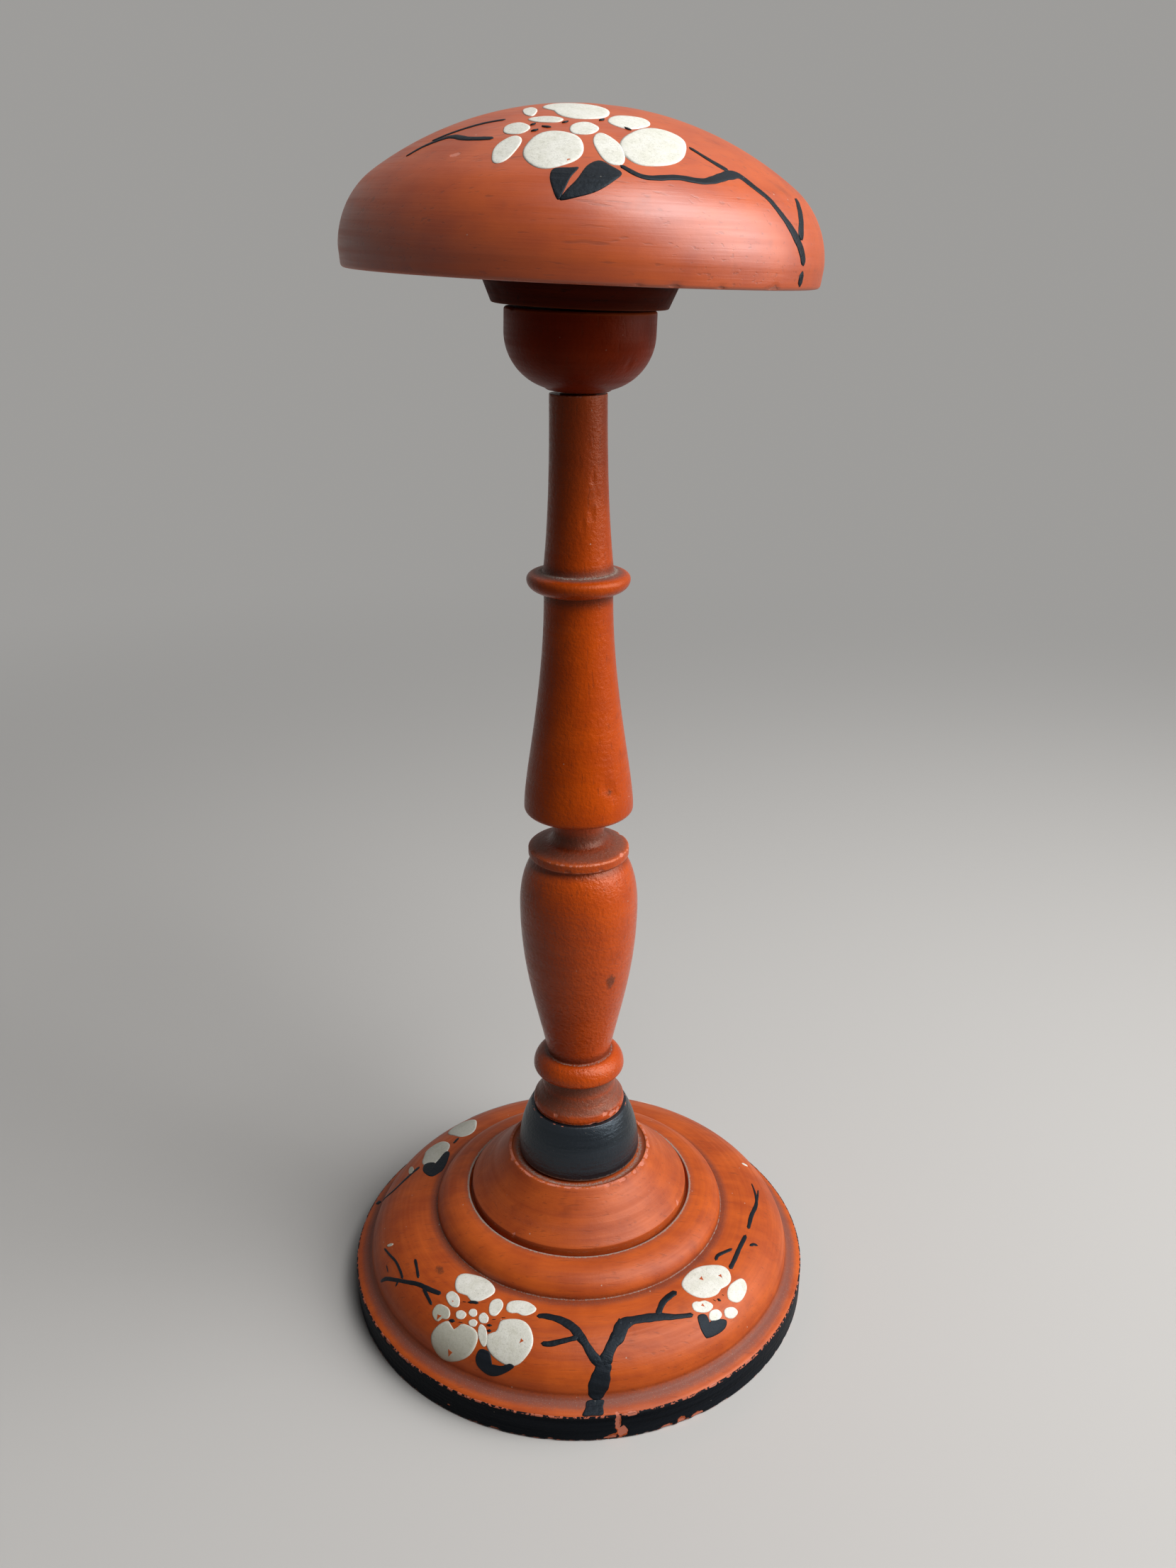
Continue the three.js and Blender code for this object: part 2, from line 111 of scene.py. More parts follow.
def mesh_piece(name, points, faces, marks, place=Matrix.Identity(4)):
    """A smooth mesh of points in mm of a frame, with its marks as one number for each point."""
    placed = np.asarray(points) * MM @ np.array(place.to_3x3()).T + np.array(place.translation)
    mesh = bpy.data.meshes.new(name)
    mesh.from_pydata(placed.tolist(), [], faces)
    for label, values in marks.items():
        mesh.attributes.new(label, "FLOAT", "POINT").data.foreach_set("value", np.float32(values))
    mesh.polygons.foreach_set("use_smooth", [True] * len(mesh.polygons))
    mesh.validate()
    piece = bpy.data.objects.new(name, mesh)
    bpy.context.scene.collection.objects.link(piece)
    return piece


class Turning:
    """A piece turned on the lathe: its outline in mm, in short steps, with corners rubbed round.

    The outline runs out from the axis or from a bore along the underside, and back over the top.
    A place on it is an angle from the front towards the right, and a distance along the outline.
    """

    FINE_STEP = 0.05
    BEND_PER_STEP = 0.22
    EDGE_REACH, EDGE_FROM, EDGE_SPAN = 0.4, 0.35, 0.7
    HOLLOW_REACH, HOLLOW_FROM, HOLLOW_SPAN = 1.6, 0.03, 0.3
    STILL_RADIUS = 3

    def __init__(self, outline, seed, wear=0.16, wander=0.06, longest_step=1.1):
        points = np.array(outline, float)
        travel = np.concatenate([[0], np.cumsum(np.hypot(*np.diff(points, axis=0).T))])
        walk = np.linspace(0, travel[-1], int(travel[-1] / self.FINE_STEP) + 1)
        radius, height = (smoothed(np.interp(walk, travel, p), wear / self.FINE_STEP) for p in points.T)
        heading = np.unwrap(np.arctan2(np.gradient(height), np.gradient(radius)))
        bend = np.gradient(heading) / self.FINE_STEP
        steps = np.cumsum(1 / longest_step + np.abs(bend) / self.BEND_PER_STEP) * self.FINE_STEP
        chosen = np.interp(np.linspace(steps[0], steps[-1], int(steps[-1]) + 1), steps, walk)
        edge = smoothed(bend, self.EDGE_REACH / self.FINE_STEP)
        hollow = smoothed(-bend, self.HOLLOW_REACH / self.FINE_STEP)
        self.along = chosen
        self.length = travel[-1]
        self.radius = np.interp(chosen, walk, np.maximum(radius, 0))
        self.height = np.interp(chosen, walk, height)
        self.out = np.interp(chosen, walk, np.sin(heading))
        self.up = np.interp(chosen, walk, -np.cos(heading))
        self.edge = np.interp(chosen, walk, np.clip((edge - self.EDGE_FROM) / self.EDGE_SPAN, 0, 1))
        self.hollow = np.interp(chosen, walk, np.clip((hollow - self.HOLLOW_FROM) / self.HOLLOW_SPAN, 0, 1))
        self.bored = points[0][0] > 0
        self.wander_size = wander
        self.waves = np.random.default_rng(seed).uniform([0.3, 0, -0.08], [1, 6.3, 0.08], (5, 3))

    def wander(self, angle, along):
        """How far the hand-turned surface stands back from the true round."""
        total = 0
        for lobes, (size, start, drift) in enumerate(self.waves, start=2):
            total = total + size * np.cos(lobes * angle + start + drift * along)
        return -self.wander_size * (1 + total / self.waves[:, 0].sum()) / 2

    def radius_at(self, along):
        return np.interp(along, self.along, self.radius)

    def along_at(self, radius, height):
        """The distance along the outline of its point nearest to that one."""
        return self.along[np.argmin(np.hypot(self.radius - radius, self.height - height))]

    def point(self, angle, along, proud=0.0):
        """The point at that place, standing proud of the surface by that much."""
        radius, height, out, up = (
            np.interp(along, self.along, p) for p in (self.radius, self.height, self.out, self.up)
        )
        lift = proud + self.wander(angle, along) * np.minimum(radius / self.STILL_RADIUS, 1)
        reach = radius + out * lift
        return np.stack([reach * np.sin(angle), -reach * np.cos(angle), height + up * lift], -1)

    def near(self, spots):
        """How much each step of the outline lies by spots of (radius, height, width, strength)."""
        found = np.zeros(len(self.along))
        for radius, height, width, strength in spots:
            away = np.hypot(self.radius - radius, self.height - height) / width
            found = np.maximum(found, strength * np.exp(-(away**2)))
        return found

    def spots(self, a, s, places):
        """Each spot's share of every point, and that times its depth.

        A spot is (degrees, radius, height, wide, tall, deep), and a stain's depth is its strength.
        """
        share, depth = np.zeros_like(a), np.zeros_like(a)
        for degrees, radius, height, wide, tall, deep in places:
            turn = (a - math.radians(degrees) + math.pi) % (2 * math.pi) - math.pi
            x, y = turn * radius, s - self.along_at(radius, height)
            ragged = 1 + 0.3 * np.sin(3.1 * x + 1.7 * y + degrees) * np.sin(2.9 * y - 1.3 * x)
            inside = np.clip(1 - ((x * 2 / wide) ** 2 + (y * 2 / tall) ** 2) * ragged, 0, 1)
            share = np.maximum(share, inside)
            depth = np.maximum(depth, inside**0.7 * deep)
        return share, depth

    def build(
        self, name, sides, dust=(), film=(), nicks=(), dents=(), stains=(), marks=None,
        place=Matrix.Identity(4),
    ):
        """The piece's mesh. A nick shows the ground under the finish, and a dent keeps its finish."""
        last = -1 if self.bored else len(self.along)
        along = self.along[:last]
        angle = np.linspace(0, 2 * math.pi, sides, endpoint=False)
        a, s = np.meshgrid(angle, along, indexing="ij")
        chip, depth = self.spots(a, s, nicks)
        depth = np.maximum(depth, self.spots(a, s, dents)[1])
        points = self.point(a, s, -depth)
        count = len(along)
        index = np.arange(sides * count).reshape(sides, count)
        after = np.roll(index, -1, axis=0)
        if self.bored:
            quads = np.stack([index, after, np.roll(after, -1, axis=1), np.roll(index, -1, axis=1)], -1)
            faces = quads.reshape(-1, 4).tolist()
        else:
            index[:, 0], after[:, 0] = index[0, 0], index[0, 0]
            index[:, -1], after[:, -1] = index[0, -1], index[0, -1]
            inner = np.stack([index[:, 1:-2], after[:, 1:-2], after[:, 2:-1], index[:, 2:-1]], -1)
            low = np.stack([index[:, 0], after[:, 1], index[:, 1]], -1)
            high = np.stack([index[:, -2], after[:, -2], index[:, -1]], -1)
            faces = inner.reshape(-1, 4).tolist() + low.tolist() + high.tolist()
        every = {
            "along": along,
            "edge": self.edge[:last],
            "hollow": self.hollow[:last],
            "dust": self.near(dust)[:last],
            "film": self.near(film)[:last],
            **{label: values[:last] for label, values in (marks or {}).items()},
        }
        every = {label: np.broadcast_to(values, a.shape).ravel() for label, values in every.items()}
        every["chip"] = chip.ravel()
        every["stain"] = self.spots(a, s, stains)[1].ravel()
        used, fresh = np.unique(np.concatenate([np.ravel(f) for f in faces]), return_inverse=True)
        renumbered, start = [], 0
        for face in faces:
            renumbered.append(fresh[start : start + len(face)].tolist())
            start += len(face)
        every = {label: values[used] for label, values in every.items()}
        return mesh_piece(name, points.reshape(-1, 3)[used], renumbered, every, place)


def round_edge(radius, height, rows):
    """Spots round one edge of a turning, each given by (degrees, wide, tall, deep)."""
    return [(degrees, radius, height, *size) for degrees, *size in rows]


def add(tree, kind, inputs=None, **settings):
    """A shader node with its settings, and a value or a link for each named input."""
    node = tree.nodes.new("ShaderNode" + kind)
    for label, value in settings.items():
        setattr(node, label, value)
    for label, value in (inputs or {}).items():
        if isinstance(value, bpy.types.NodeSocket):
            tree.links.new(value, node.inputs[label])
        else:
            node.inputs[label].default_value = value
    return node


def tree_of(*values):
    """The node tree of the first link among the values."""
    return next(value.id_data for value in values if isinstance(value, bpy.types.NodeSocket))


def arithmetic(operation):
    """A shader step that joins two values, at least one of them a link, by that operation."""

    def step(first, second):
        return add(tree_of(first, second), "Math", {0: first, 1: second}, operation=operation).outputs[0]

    return step


plus, minus, times = arithmetic("ADD"), arithmetic("SUBTRACT"), arithmetic("MULTIPLY")
over, larger = arithmetic("DIVIDE"), arithmetic("MAXIMUM")


def ramp(value, low, high, to=1.0):
    """A soft step of a value, from 0 at low to a chosen number at high."""
    inputs = {"Value": value, "From Min": low, "From Max": high, "To Min": 0.0, "To Max": to}
    return add(tree_of(value), "MapRange", inputs, interpolation_type="SMOOTHSTEP").outputs[0]


def blend(share, first, second):
    """One colour passing into another by a share."""
    node = add(tree_of(share), "Mix", {0: share}, data_type="RGBA")
    for socket, value in ((node.inputs[6], first), (node.inputs[7], second)):
        if isinstance(value, bpy.types.NodeSocket):
            socket.id_data.links.new(value, socket)
        else:
            socket.default_value = (*value, 1)
    return node.outputs[2]


def mark(tree, label):
    return add(tree, "Attribute", attribute_name=label).outputs["Fac"]


def effect(name, inputs, outputs):
    """An empty node group with named inputs and outputs, and the nodes at its two ends."""
    group = bpy.data.node_groups.new(name, "ShaderNodeTree")
    for label, value in inputs.items():
        kind = "NodeSocketFloat" if isinstance(value, float) else "NodeSocketVector"
        group.interface.new_socket(label, in_out="INPUT", socket_type=kind).default_value = value
    for label in outputs:
        group.interface.new_socket(label, in_out="OUTPUT", socket_type="NodeSocketFloat")
    return group, group.nodes.new("NodeGroupInput").outputs, group.nodes.new("NodeGroupOutput").inputs


def use(tree, group, **values):
    """An effect placed in a material with its own values, by its outputs."""
    node = tree.nodes.new("ShaderNodeGroup")
    node.node_tree = group
    for label, value in values.items():
        node.inputs[label].default_value = value
    return node.outputs


def grown(tree, vector, scale, detail=3.0, roughness=0.55):
    """Noise from 0 to 1 at a place."""
    inputs = {"Vector": vector, "Scale": scale, "Detail": detail, "Roughness": roughness}
    return add(tree, "TexNoise", inputs).outputs["Fac"]


def millimetres(tree):
    """The place on the piece in mm, in the piece's own frame."""
    place = add(tree, "TexCoord").outputs["Object"]
    return add(tree, "VectorMath", {0: place, "Scale": 1000.0}, operation="SCALE").outputs[0]


# Marks of the brush run round the turning: long along the stroke and fine across it.
brush_marks, given, put = effect("brush_marks", {"Stroke": 14.0, "Hair": 0.5}, ("Tone", "Ridge"))
tree = brush_marks
place = add(tree, "SeparateXYZ", {0: millimetres(tree)}).outputs
round_x = over(place[0], given["Stroke"])
round_y = over(place[1], given["Stroke"])
across = over(mark(tree, "along"), given["Hair"])
hairs = add(tree, "CombineXYZ", {0: round_x, 1: round_y, 2: across}).outputs[0]
tree.links.new(ramp(grown(tree, hairs, 0.35, 4.0, 0.6), 0.3, 0.7), put["Tone"])
tree.links.new(grown(tree, hairs, 1.0, 2.0), put["Ridge"])

# Pores of the wood telegraph through the lacquer as short dark dashes along the grain.
wood_pores, given, put = effect("wood_pores", {"Grain": (0.12, 1.6, 1.6)}, ("Pore", "Figure"))
tree = wood_pores
fibres = add(tree, "VectorMath", {0: millimetres(tree), 1: given["Grain"]}, operation="MULTIPLY").outputs[0]
tree.links.new(ramp(grown(tree, fibres, 1.0, 2.0), 0.6, 0.72), put["Pore"])
tree.links.new(ramp(grown(tree, fibres, 0.22), 0.3, 0.7), put["Figure"])

# Corners lose their lacquer in flakes, and are rubbed paler beside them.
edge_wear, given, put = effect("edge_wear", {"Hold": 0.56, "Flake": 0.9}, ("Chip", "Rub"))
tree = edge_wear
flakes = grown(tree, millimetres(tree), given["Flake"], 3.0, 0.6)
risk = times(mark(tree, "edge"), flakes)
lost = minus(risk, given["Hold"])
knocked = ramp(times(mark(tree, "chip"), flakes), 0.12, 0.2)
tree.links.new(larger(ramp(lost, 0.0, 0.03), knocked), put["Chip"])
tree.links.new(ramp(mark(tree, "edge"), 0.15, 1.0), put["Rub"])

# Dust lies in broken lines where pieces meet, and the wider hollows are darkened: partly grime, partly
# painted shade.
dust_and_shade, given, put = effect("dust_and_shade", {"Amount": 1.0, "Grain": 1.4}, ("Dust", "GrimeAndShade"))
tree = dust_and_shade
crumbs = grown(tree, millimetres(tree), given["Grain"], 4.0, 0.65)
lying = plus(mark(tree, "dust"), times(crumbs, 0.9))
lying = times(ramp(lying, 0.9, 1.25), ramp(mark(tree, "dust"), 0.05, 0.35))
tree.links.new(times(lying, given["Amount"]), put["Dust"])
# Painted shade and grime together darken the wider hollows.
soiled_and_shaded = times(mark(tree, "hollow"), plus(crumbs, 0.35))
tree.links.new(ramp(soiled_and_shaded, 0.05, 0.8), put["GrimeAndShade"])

# Tiny pale flecks and darker spots that lie over any finish.
flecks, given, put = effect("flecks", {"Spread": 0.32}, ("Pale", "Spot"))
tree = flecks
cells = add(tree, "TexVoronoi", {"Vector": millimetres(tree), "Scale": given["Spread"]})
rare = ramp(add(tree, "SeparateColor", {0: cells.outputs["Color"]}).outputs[0], 0.8, 0.82)
small = minus(1.0, ramp(cells.outputs["Distance"], 0.03, 0.07))
tree.links.new(times(rare, small), put["Pale"])
blots = grown(tree, millimetres(tree), 0.11, 3.0, 0.6)
tree.links.new(ramp(blots, 0.6, 0.78), put["Spot"])

# Old dust has caked to a grey-brown crust with finer crumbs.
CRUST = (0.34, 0.28, 0.24)
CRUST_GRAIN = 2.2


def new_material(name):
    """A new material, with its node tree and its shader."""
    material = bpy.data.materials.new(name)
    material.use_nodes = True
    tree = material.node_tree
    return material, tree, tree.nodes["Principled BSDF"]


def coat(tree, shader, colour, rough, relief, strength, distance):
    """Wires a finish's colour, roughness and relief into its shader."""
    tree.links.new(colour, shader.inputs["Base Color"])
    tree.links.new(rough, shader.inputs["Roughness"])
    bump = add(tree, "Bump", {"Strength": strength, "Distance": distance, "Height": relief})
    tree.links.new(bump.outputs[0], shader.inputs["Normal"])


def lacquer(
    name, bright, deep, streaks=0.35, hold=0.5, grain=(0.12, 1.6, 1.6), sheen=0.4, gloss=0.3,
    dusty=(0.2, 0.062, 0.042), peel=0.0, flecked=0.6, shine=(1, 0.72, 0.6),
):
    """Orange lacquer brushed on turned wood. The caller may still mix over its colour."""
    material, tree, shader = new_material(name)
    spot = millimetres(tree)
    strokes, wood = use(tree, brush_marks), use(tree, wood_pores, Grain=grain)
    worn, settled = use(tree, edge_wear, Hold=hold), use(tree, dust_and_shade, Grain=CRUST_GRAIN)
    fleck = use(tree, flecks)
    fine = grown(tree, spot, 1.1, 3.0, 0.6)
    cloudy = ramp(grown(tree, spot, 0.09), 0.3, 0.7, 0.55)
    tone = times(plus(strokes["Tone"], wood["Figure"]), streaks)
    colour = blend(plus(tone, cloudy), bright, deep)
    colour = blend(times(wood["Pore"], 0.3), colour, (0.1, 0.018, 0.006))
    colour = blend(times(fleck["Spot"], 0.35), colour, (0.16, 0.022, 0.006))
    # The wider hollows are darkened: partly grime, partly painted shade.
    colour = blend(times(settled["GrimeAndShade"], 0.75), colour, (0.1, 0.016, 0.006))
    spoilt = times(mark(tree, "stain"), grown(tree, spot, 0.9, 4.0, 0.75))
    colour = blend(ramp(spoilt, 0.16, 0.42, 0.75), colour, (0.08, 0.02, 0.006))
    patchy = plus(times(fine, 0.7), 0.6)
    film = times(mark(tree, "film"), patchy)
    colour = blend(ramp(film, 0.1, 0.95, 0.9), colour, dusty)
    grit = times(ramp(grown(tree, spot, 4.2, 2.0), 0.6, 0.72), film)
    colour = blend(times(grit, 0.55), colour, CRUST)
    colour = blend(times(worn["Rub"], 0.4), colour, (0.6, 0.12, 0.025))
    colour = blend(worn["Chip"], colour, (0.6, 0.19, 0.12))
    colour = blend(times(fleck["Pale"], flecked), colour, (0.6, 0.5, 0.42))
    colour = blend(settled["Dust"], colour, CRUST)
    dull = larger(settled["Dust"], times(film, 0.5))
    dull = larger(dull, worn["Chip"])
    uneven = times(strokes["Tone"], 0.12)
    rough = plus(times(dull, 0.4), plus(uneven, sheen))
    relief = times(strokes["Ridge"], 0.45)
    relief = plus(relief, times(fine, peel))
    relief = minus(relief, times(wood["Pore"], 0.25))
    relief = minus(relief, times(worn["Chip"], 1.2))
    relief = plus(relief, times(settled["Dust"], 1.2))
    coat(tree, shader, colour, rough, relief, 0.5, 0.00012)
    shader.inputs["Specular IOR Level"].default_value = gloss
    shader.inputs["Specular Tint"].default_value = (*shine, 1)
    return material


def recolour(material, share, colour):
    """Lays another colour over all of a finish, by a share."""
    tree = material.node_tree
    socket = tree.nodes["Principled BSDF"].inputs["Base Color"]
    tree.links.new(blend(share, socket.links[0].from_socket, colour), socket)


base_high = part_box("base")[1] / MM
base_radius = base_high.x
band_radius = base_radius - BAND_PAINT
ledge_inner = base_radius - LEDGE_WIDTH
flange_radius = ledge_inner - QUIRK_WIDTH
flange_foot = BAND_HEIGHT + LEDGE_RISE + QUIRK_RISE
roll_foot = flange_foot + FLANGE_RISE
roll_top = base_high.z
collar_low, collar_high = (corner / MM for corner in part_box("collar"))
roll_inner = collar_high.x + CREVICE_WIDTH
roll_outer = roll_inner + ROLL_WIDTH
collar_seat = roll_top - CREVICE_DEPTH
SOCKET_RADIUS = 14.15
SOCKET_END = 0.5
base_turning = Turning(
    [
        (0, 0),
        (band_radius - BAND_CORNER, 0),
        (band_radius, BAND_CORNER),
        (band_radius, BAND_HEIGHT - BAND_CORNER),
        (band_radius - BAND_CORNER, BAND_HEIGHT),
        (ledge_inner, BAND_HEIGHT + LEDGE_RISE),
        (flange_radius, flange_foot),
        *arc(roll_outer, flange_foot, flange_radius - roll_outer, FLANGE_RISE, 0, 1)[1:],
        *arc(roll_inner, roll_foot, ROLL_WIDTH, roll_top - roll_foot, 0, 1)[1:],
        (roll_inner - CREVICE_WIDTH / 2, collar_seat),
        (SOCKET_RADIUS, collar_seat),
        (SOCKET_RADIUS, collar_low.z - SOCKET_END),
        (0, collar_low.z - SOCKET_END),
    ],
    seed=3,
)
BASE_DUST = [
    (roll_inner + 0.2, roll_top - 0.1, 0.65, 0.8),
    (roll_outer, roll_foot, 0.4, 0.62),
    (flange_radius + 0.3, flange_foot - 0.4, 0.5, 0.5),
    (band_radius - 0.4, BAND_HEIGHT, 0.3, 0.35),
]
BASE_FILM = [
    (flange_radius + 1.4, flange_foot - 1.2, 1.6, 1.0),
    (roll_outer + 1.2, roll_foot - 0.1, 1.5, 0.45),
    (roll_inner + 0.5, roll_top - 0.2, 1.4, 0.5),
]
# Chips on the band: one runs down its front, with a row along its foot, and small ones elsewhere.
# Each is (degrees, height, wide, tall, deep).
BAND_CHIPS = [
    (9.2, 5.6, 1.6, 7, 0.35), (10.2, 2.2, 3, 4, 0.35), (8, 0.8, 2.6, 1.8, 0.35),
    (6.6, 0.5, 1.6, 1.2, 0.3), (20.6, 0.4, 3.4, 1.8, 0.35), (24.4, 0.8, 2.6, 2.6, 0.35),
    (28.6, 0.5, 3.8, 1.8, 0.35), (-19, 0.3, 2.6, 1.4, 0.3), (-6, 0.3, 1.8, 1.2, 0.3),
    (-52, BAND_HEIGHT - 0.4, 2.8, 1.4, 0.3), (-44, BAND_HEIGHT - 0.4, 1.8, 1.2, 0.3),
    (-31, 2.4, 0.9, 0.8, 0.25), (12.4, BAND_HEIGHT - 0.5, 3.4, 1.8, 0.35),
    (33, BAND_HEIGHT - 0.3, 3.2, 1.4, 0.3), (44, BAND_HEIGHT - 0.3, 2.2, 1.2, 0.3),
    (118, 0.4, 3, 1.6, 0.3), (163, BAND_HEIGHT - 0.3, 2.6, 1.4, 0.3), (-140, 0.8, 3.6, 2.6, 0.35),
    (-97, BAND_HEIGHT - 0.3, 2.2, 1.4, 0.3),
]
band_chips = [(degrees, band_radius, *rest) for degrees, *rest in BAND_CHIPS]
base_piece = base_turning.build(
    "base_turning",
    BASE_SIDES,
    dust=BASE_DUST,
    film=BASE_FILM,
    nicks=[(*chip[:-1], BASE_SCRAPE) for chip in band_chips],
    stains=[
        (-52, 46, 21, 5, 3, 0.8),
        (20, 50, 20, 9, 4, 0.35),
        (63, 36, 28.5, 12, 4, 0.4),
        (-30, 38, 27, 10, 4, 0.3),
        (132, 52, 18, 9, 5, 0.6),
    ],
    marks={"under": np.where(base_turning.along < band_radius - BASE_BARE_MARGIN, 1.0, 0.0)},
)
base_finish = lacquer(
    "base_lacquer", (0.58, 0.104, 0.011), (0.38, 0.056, 0.006), hold=0.49, gloss=0.44, peel=0.5,
    shine=(1, 0.84, 0.78),
)
tree = base_finish.node_tree
recolour(base_finish, times(mark(tree, "under"), 0.9), (0.11, 0.055, 0.03))
base_piece.data.materials.append(base_finish)
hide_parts("base")
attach(base_piece, "base")

# Black band
# Blue-black paint brushed round the rim of the base. It is a thin skin over the orange, with a
# ragged upper line, and knocks have flaked it off in chips that show the orange ground.
BAND_SIDES = 960
BAND_SKIN = 0.35
BAND_PROUD = 0.03
RAGGED_TOP_FROM = 5
RAGGED_FOOT_TO = 2
# The skin's two ends: how far in from its face, and how far from the foot or from the top.
SKIN_FOOT = [(BAND_SKIN, 0.12), (0.2, 0.08), (0, 0.35)]
SKIN_TOP = [(0, 0.4), (0.22, 0.15), (BAND_SKIN, 0.2)]


def black_paint(name, streak, sheen, gloss):
    """Blue-black brush paint, specked and rubbed at its corners."""
    material, tree, shader = new_material(name)
    strokes, fleck = use(tree, brush_marks, Stroke=18.0, Hair=streak), use(tree, flecks, Spread=0.45)
    worn, settled = use(tree, edge_wear, Hold=0.52), use(tree, dust_and_shade, Amount=0.8)
    colour = blend(strokes["Tone"], (0.0025, 0.0035, 0.0055), (0.009, 0.011, 0.015))
    colour = blend(times(worn["Rub"], 0.25), colour, (0.03, 0.03, 0.034))
    colour = blend(worn["Chip"], colour, (0.5, 0.15, 0.09))
    colour = blend(times(fleck["Pale"], 0.5), colour, (0.4, 0.36, 0.32))
    colour = blend(settled["Dust"], colour, (0.3, 0.25, 0.21))
    dull = times(settled["Dust"], 0.4)
    uneven = times(strokes["Tone"], 0.14)
    rough = plus(dull, plus(uneven, sheen))
    lumps = plus(strokes["Ridge"], grown(tree, millimetres(tree), 1.1))
    coat(tree, shader, colour, rough, lumps, 0.6, 0.0002)
    shader.inputs["Specular IOR Level"].default_value = gloss
    shader.inputs["Specular Tint"].default_value = (0.7, 0.86, 1, 1)
    return material


def ragged(angle, seed, deep, waves=48):
    """How far a brushed or chipped border strays in mm, round the whole turning."""
    chance = np.random.default_rng(seed)
    lobes, start = chance.integers(16, 200, waves), chance.uniform(0, 2 * math.pi, waves)
    wave = np.cos(angle[:, None] * lobes + start).sum(1) / math.sqrt(waves / 2)
    return deep * (0.15 + np.clip(wave - 0.5, 0, 2.2))


band_outer = base_radius - BAND_PROUD
skin_foot = [(band_outer - inward, up) for inward, up in SKIN_FOOT]
skin_top = [(band_outer - inward, BAND_HEIGHT - down) for inward, down in SKIN_TOP]
band_turning = Turning(
    [*skin_foot, *skin_top, skin_foot[0]],
    seed=4,
    wear=0.06,
    wander=0,
    longest_step=0.4,
)
band_piece = band_turning.build("base_band_paint", BAND_SIDES, nicks=band_chips)
spots = np.empty(len(band_piece.data.vertices) * 3, np.float32)
band_piece.data.vertices.foreach_get("co", spots)
spots = spots.reshape(-1, 3) / MM
turn = np.arctan2(spots[:, 0], -spots[:, 1])
near_top = np.clip((spots[:, 2] - RAGGED_TOP_FROM) / (BAND_HEIGHT - RAGGED_TOP_FROM), 0, 1)
near_foot = np.clip((RAGGED_FOOT_TO - spots[:, 2]) / RAGGED_FOOT_TO, 0, 1)
spots[:, 2] += ragged(turn, seed=31, deep=0.25) * near_foot - ragged(turn, seed=30, deep=0.11) * near_top
band_piece.data.vertices.foreach_set("co", np.float32(spots * MM).ravel())
band_piece.data.attributes["chip"].data.foreach_set("value", np.zeros(len(spots), np.float32))
band_piece.data.materials.append(black_paint("band_paint", streak=0.9, sheen=0.42, gloss=0.04))
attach(band_piece, "base")

# Blossom sprays on the base
# White petals and black branches, painted freehand over the lacquer in thick brush paint that
# stands a little proud. A trunk rises from the ledge in front and its twigs run round the flange.
PAINT_THICK = 0.14
PAINT_SUNK = 0.12
FLAKE_THICK = PAINT_THICK * 1.25
STAMEN_THICK = PAINT_THICK * 1.5
flange_foot_along = base_turning.along_at(flange_radius, flange_foot)


def curve_between(p0, p1, p2, p3, share):
    """Points a share of the way from the second to the third of four corners of a smooth curve."""
    bend = 2 * p0 - 5 * p1 + 4 * p2 - p3
    twist = 3 * p1 - p0 - 3 * p2 + p3
    return 0.5 * (2 * p1 + (p2 - p0) * share + bend * share**2 + twist * share**3)


def closed_curve(corners, count):
    """A smooth closed curve through the corners, at even steps of their order."""
    corners = np.array(corners, float)
    t = np.linspace(0, len(corners), count, endpoint=False)
    k = t.astype(int)
    four = (corners[(k + shift) % len(corners)] for shift in (-1, 0, 1, 2))
    return curve_between(*four, (t - k)[:, None])


def open_curve(corners, step):
    """A smooth open curve through the corners, in about even steps of their first two numbers."""
    corners = np.array(corners, float)
    ends = np.concatenate([[2 * corners[0] - corners[1]], corners, [2 * corners[-1] - corners[-2]]])
    found = []
    for four in zip(ends, ends[1:], ends[2:], ends[3:]):
        count = max(int(np.hypot(*(four[2] - four[1])[:2]) / step), 1)
        found.append(curve_between(*four, np.linspace(0, 1, count, endpoint=False)[:, None]))
    return np.concatenate([*found, corners[-1:]])


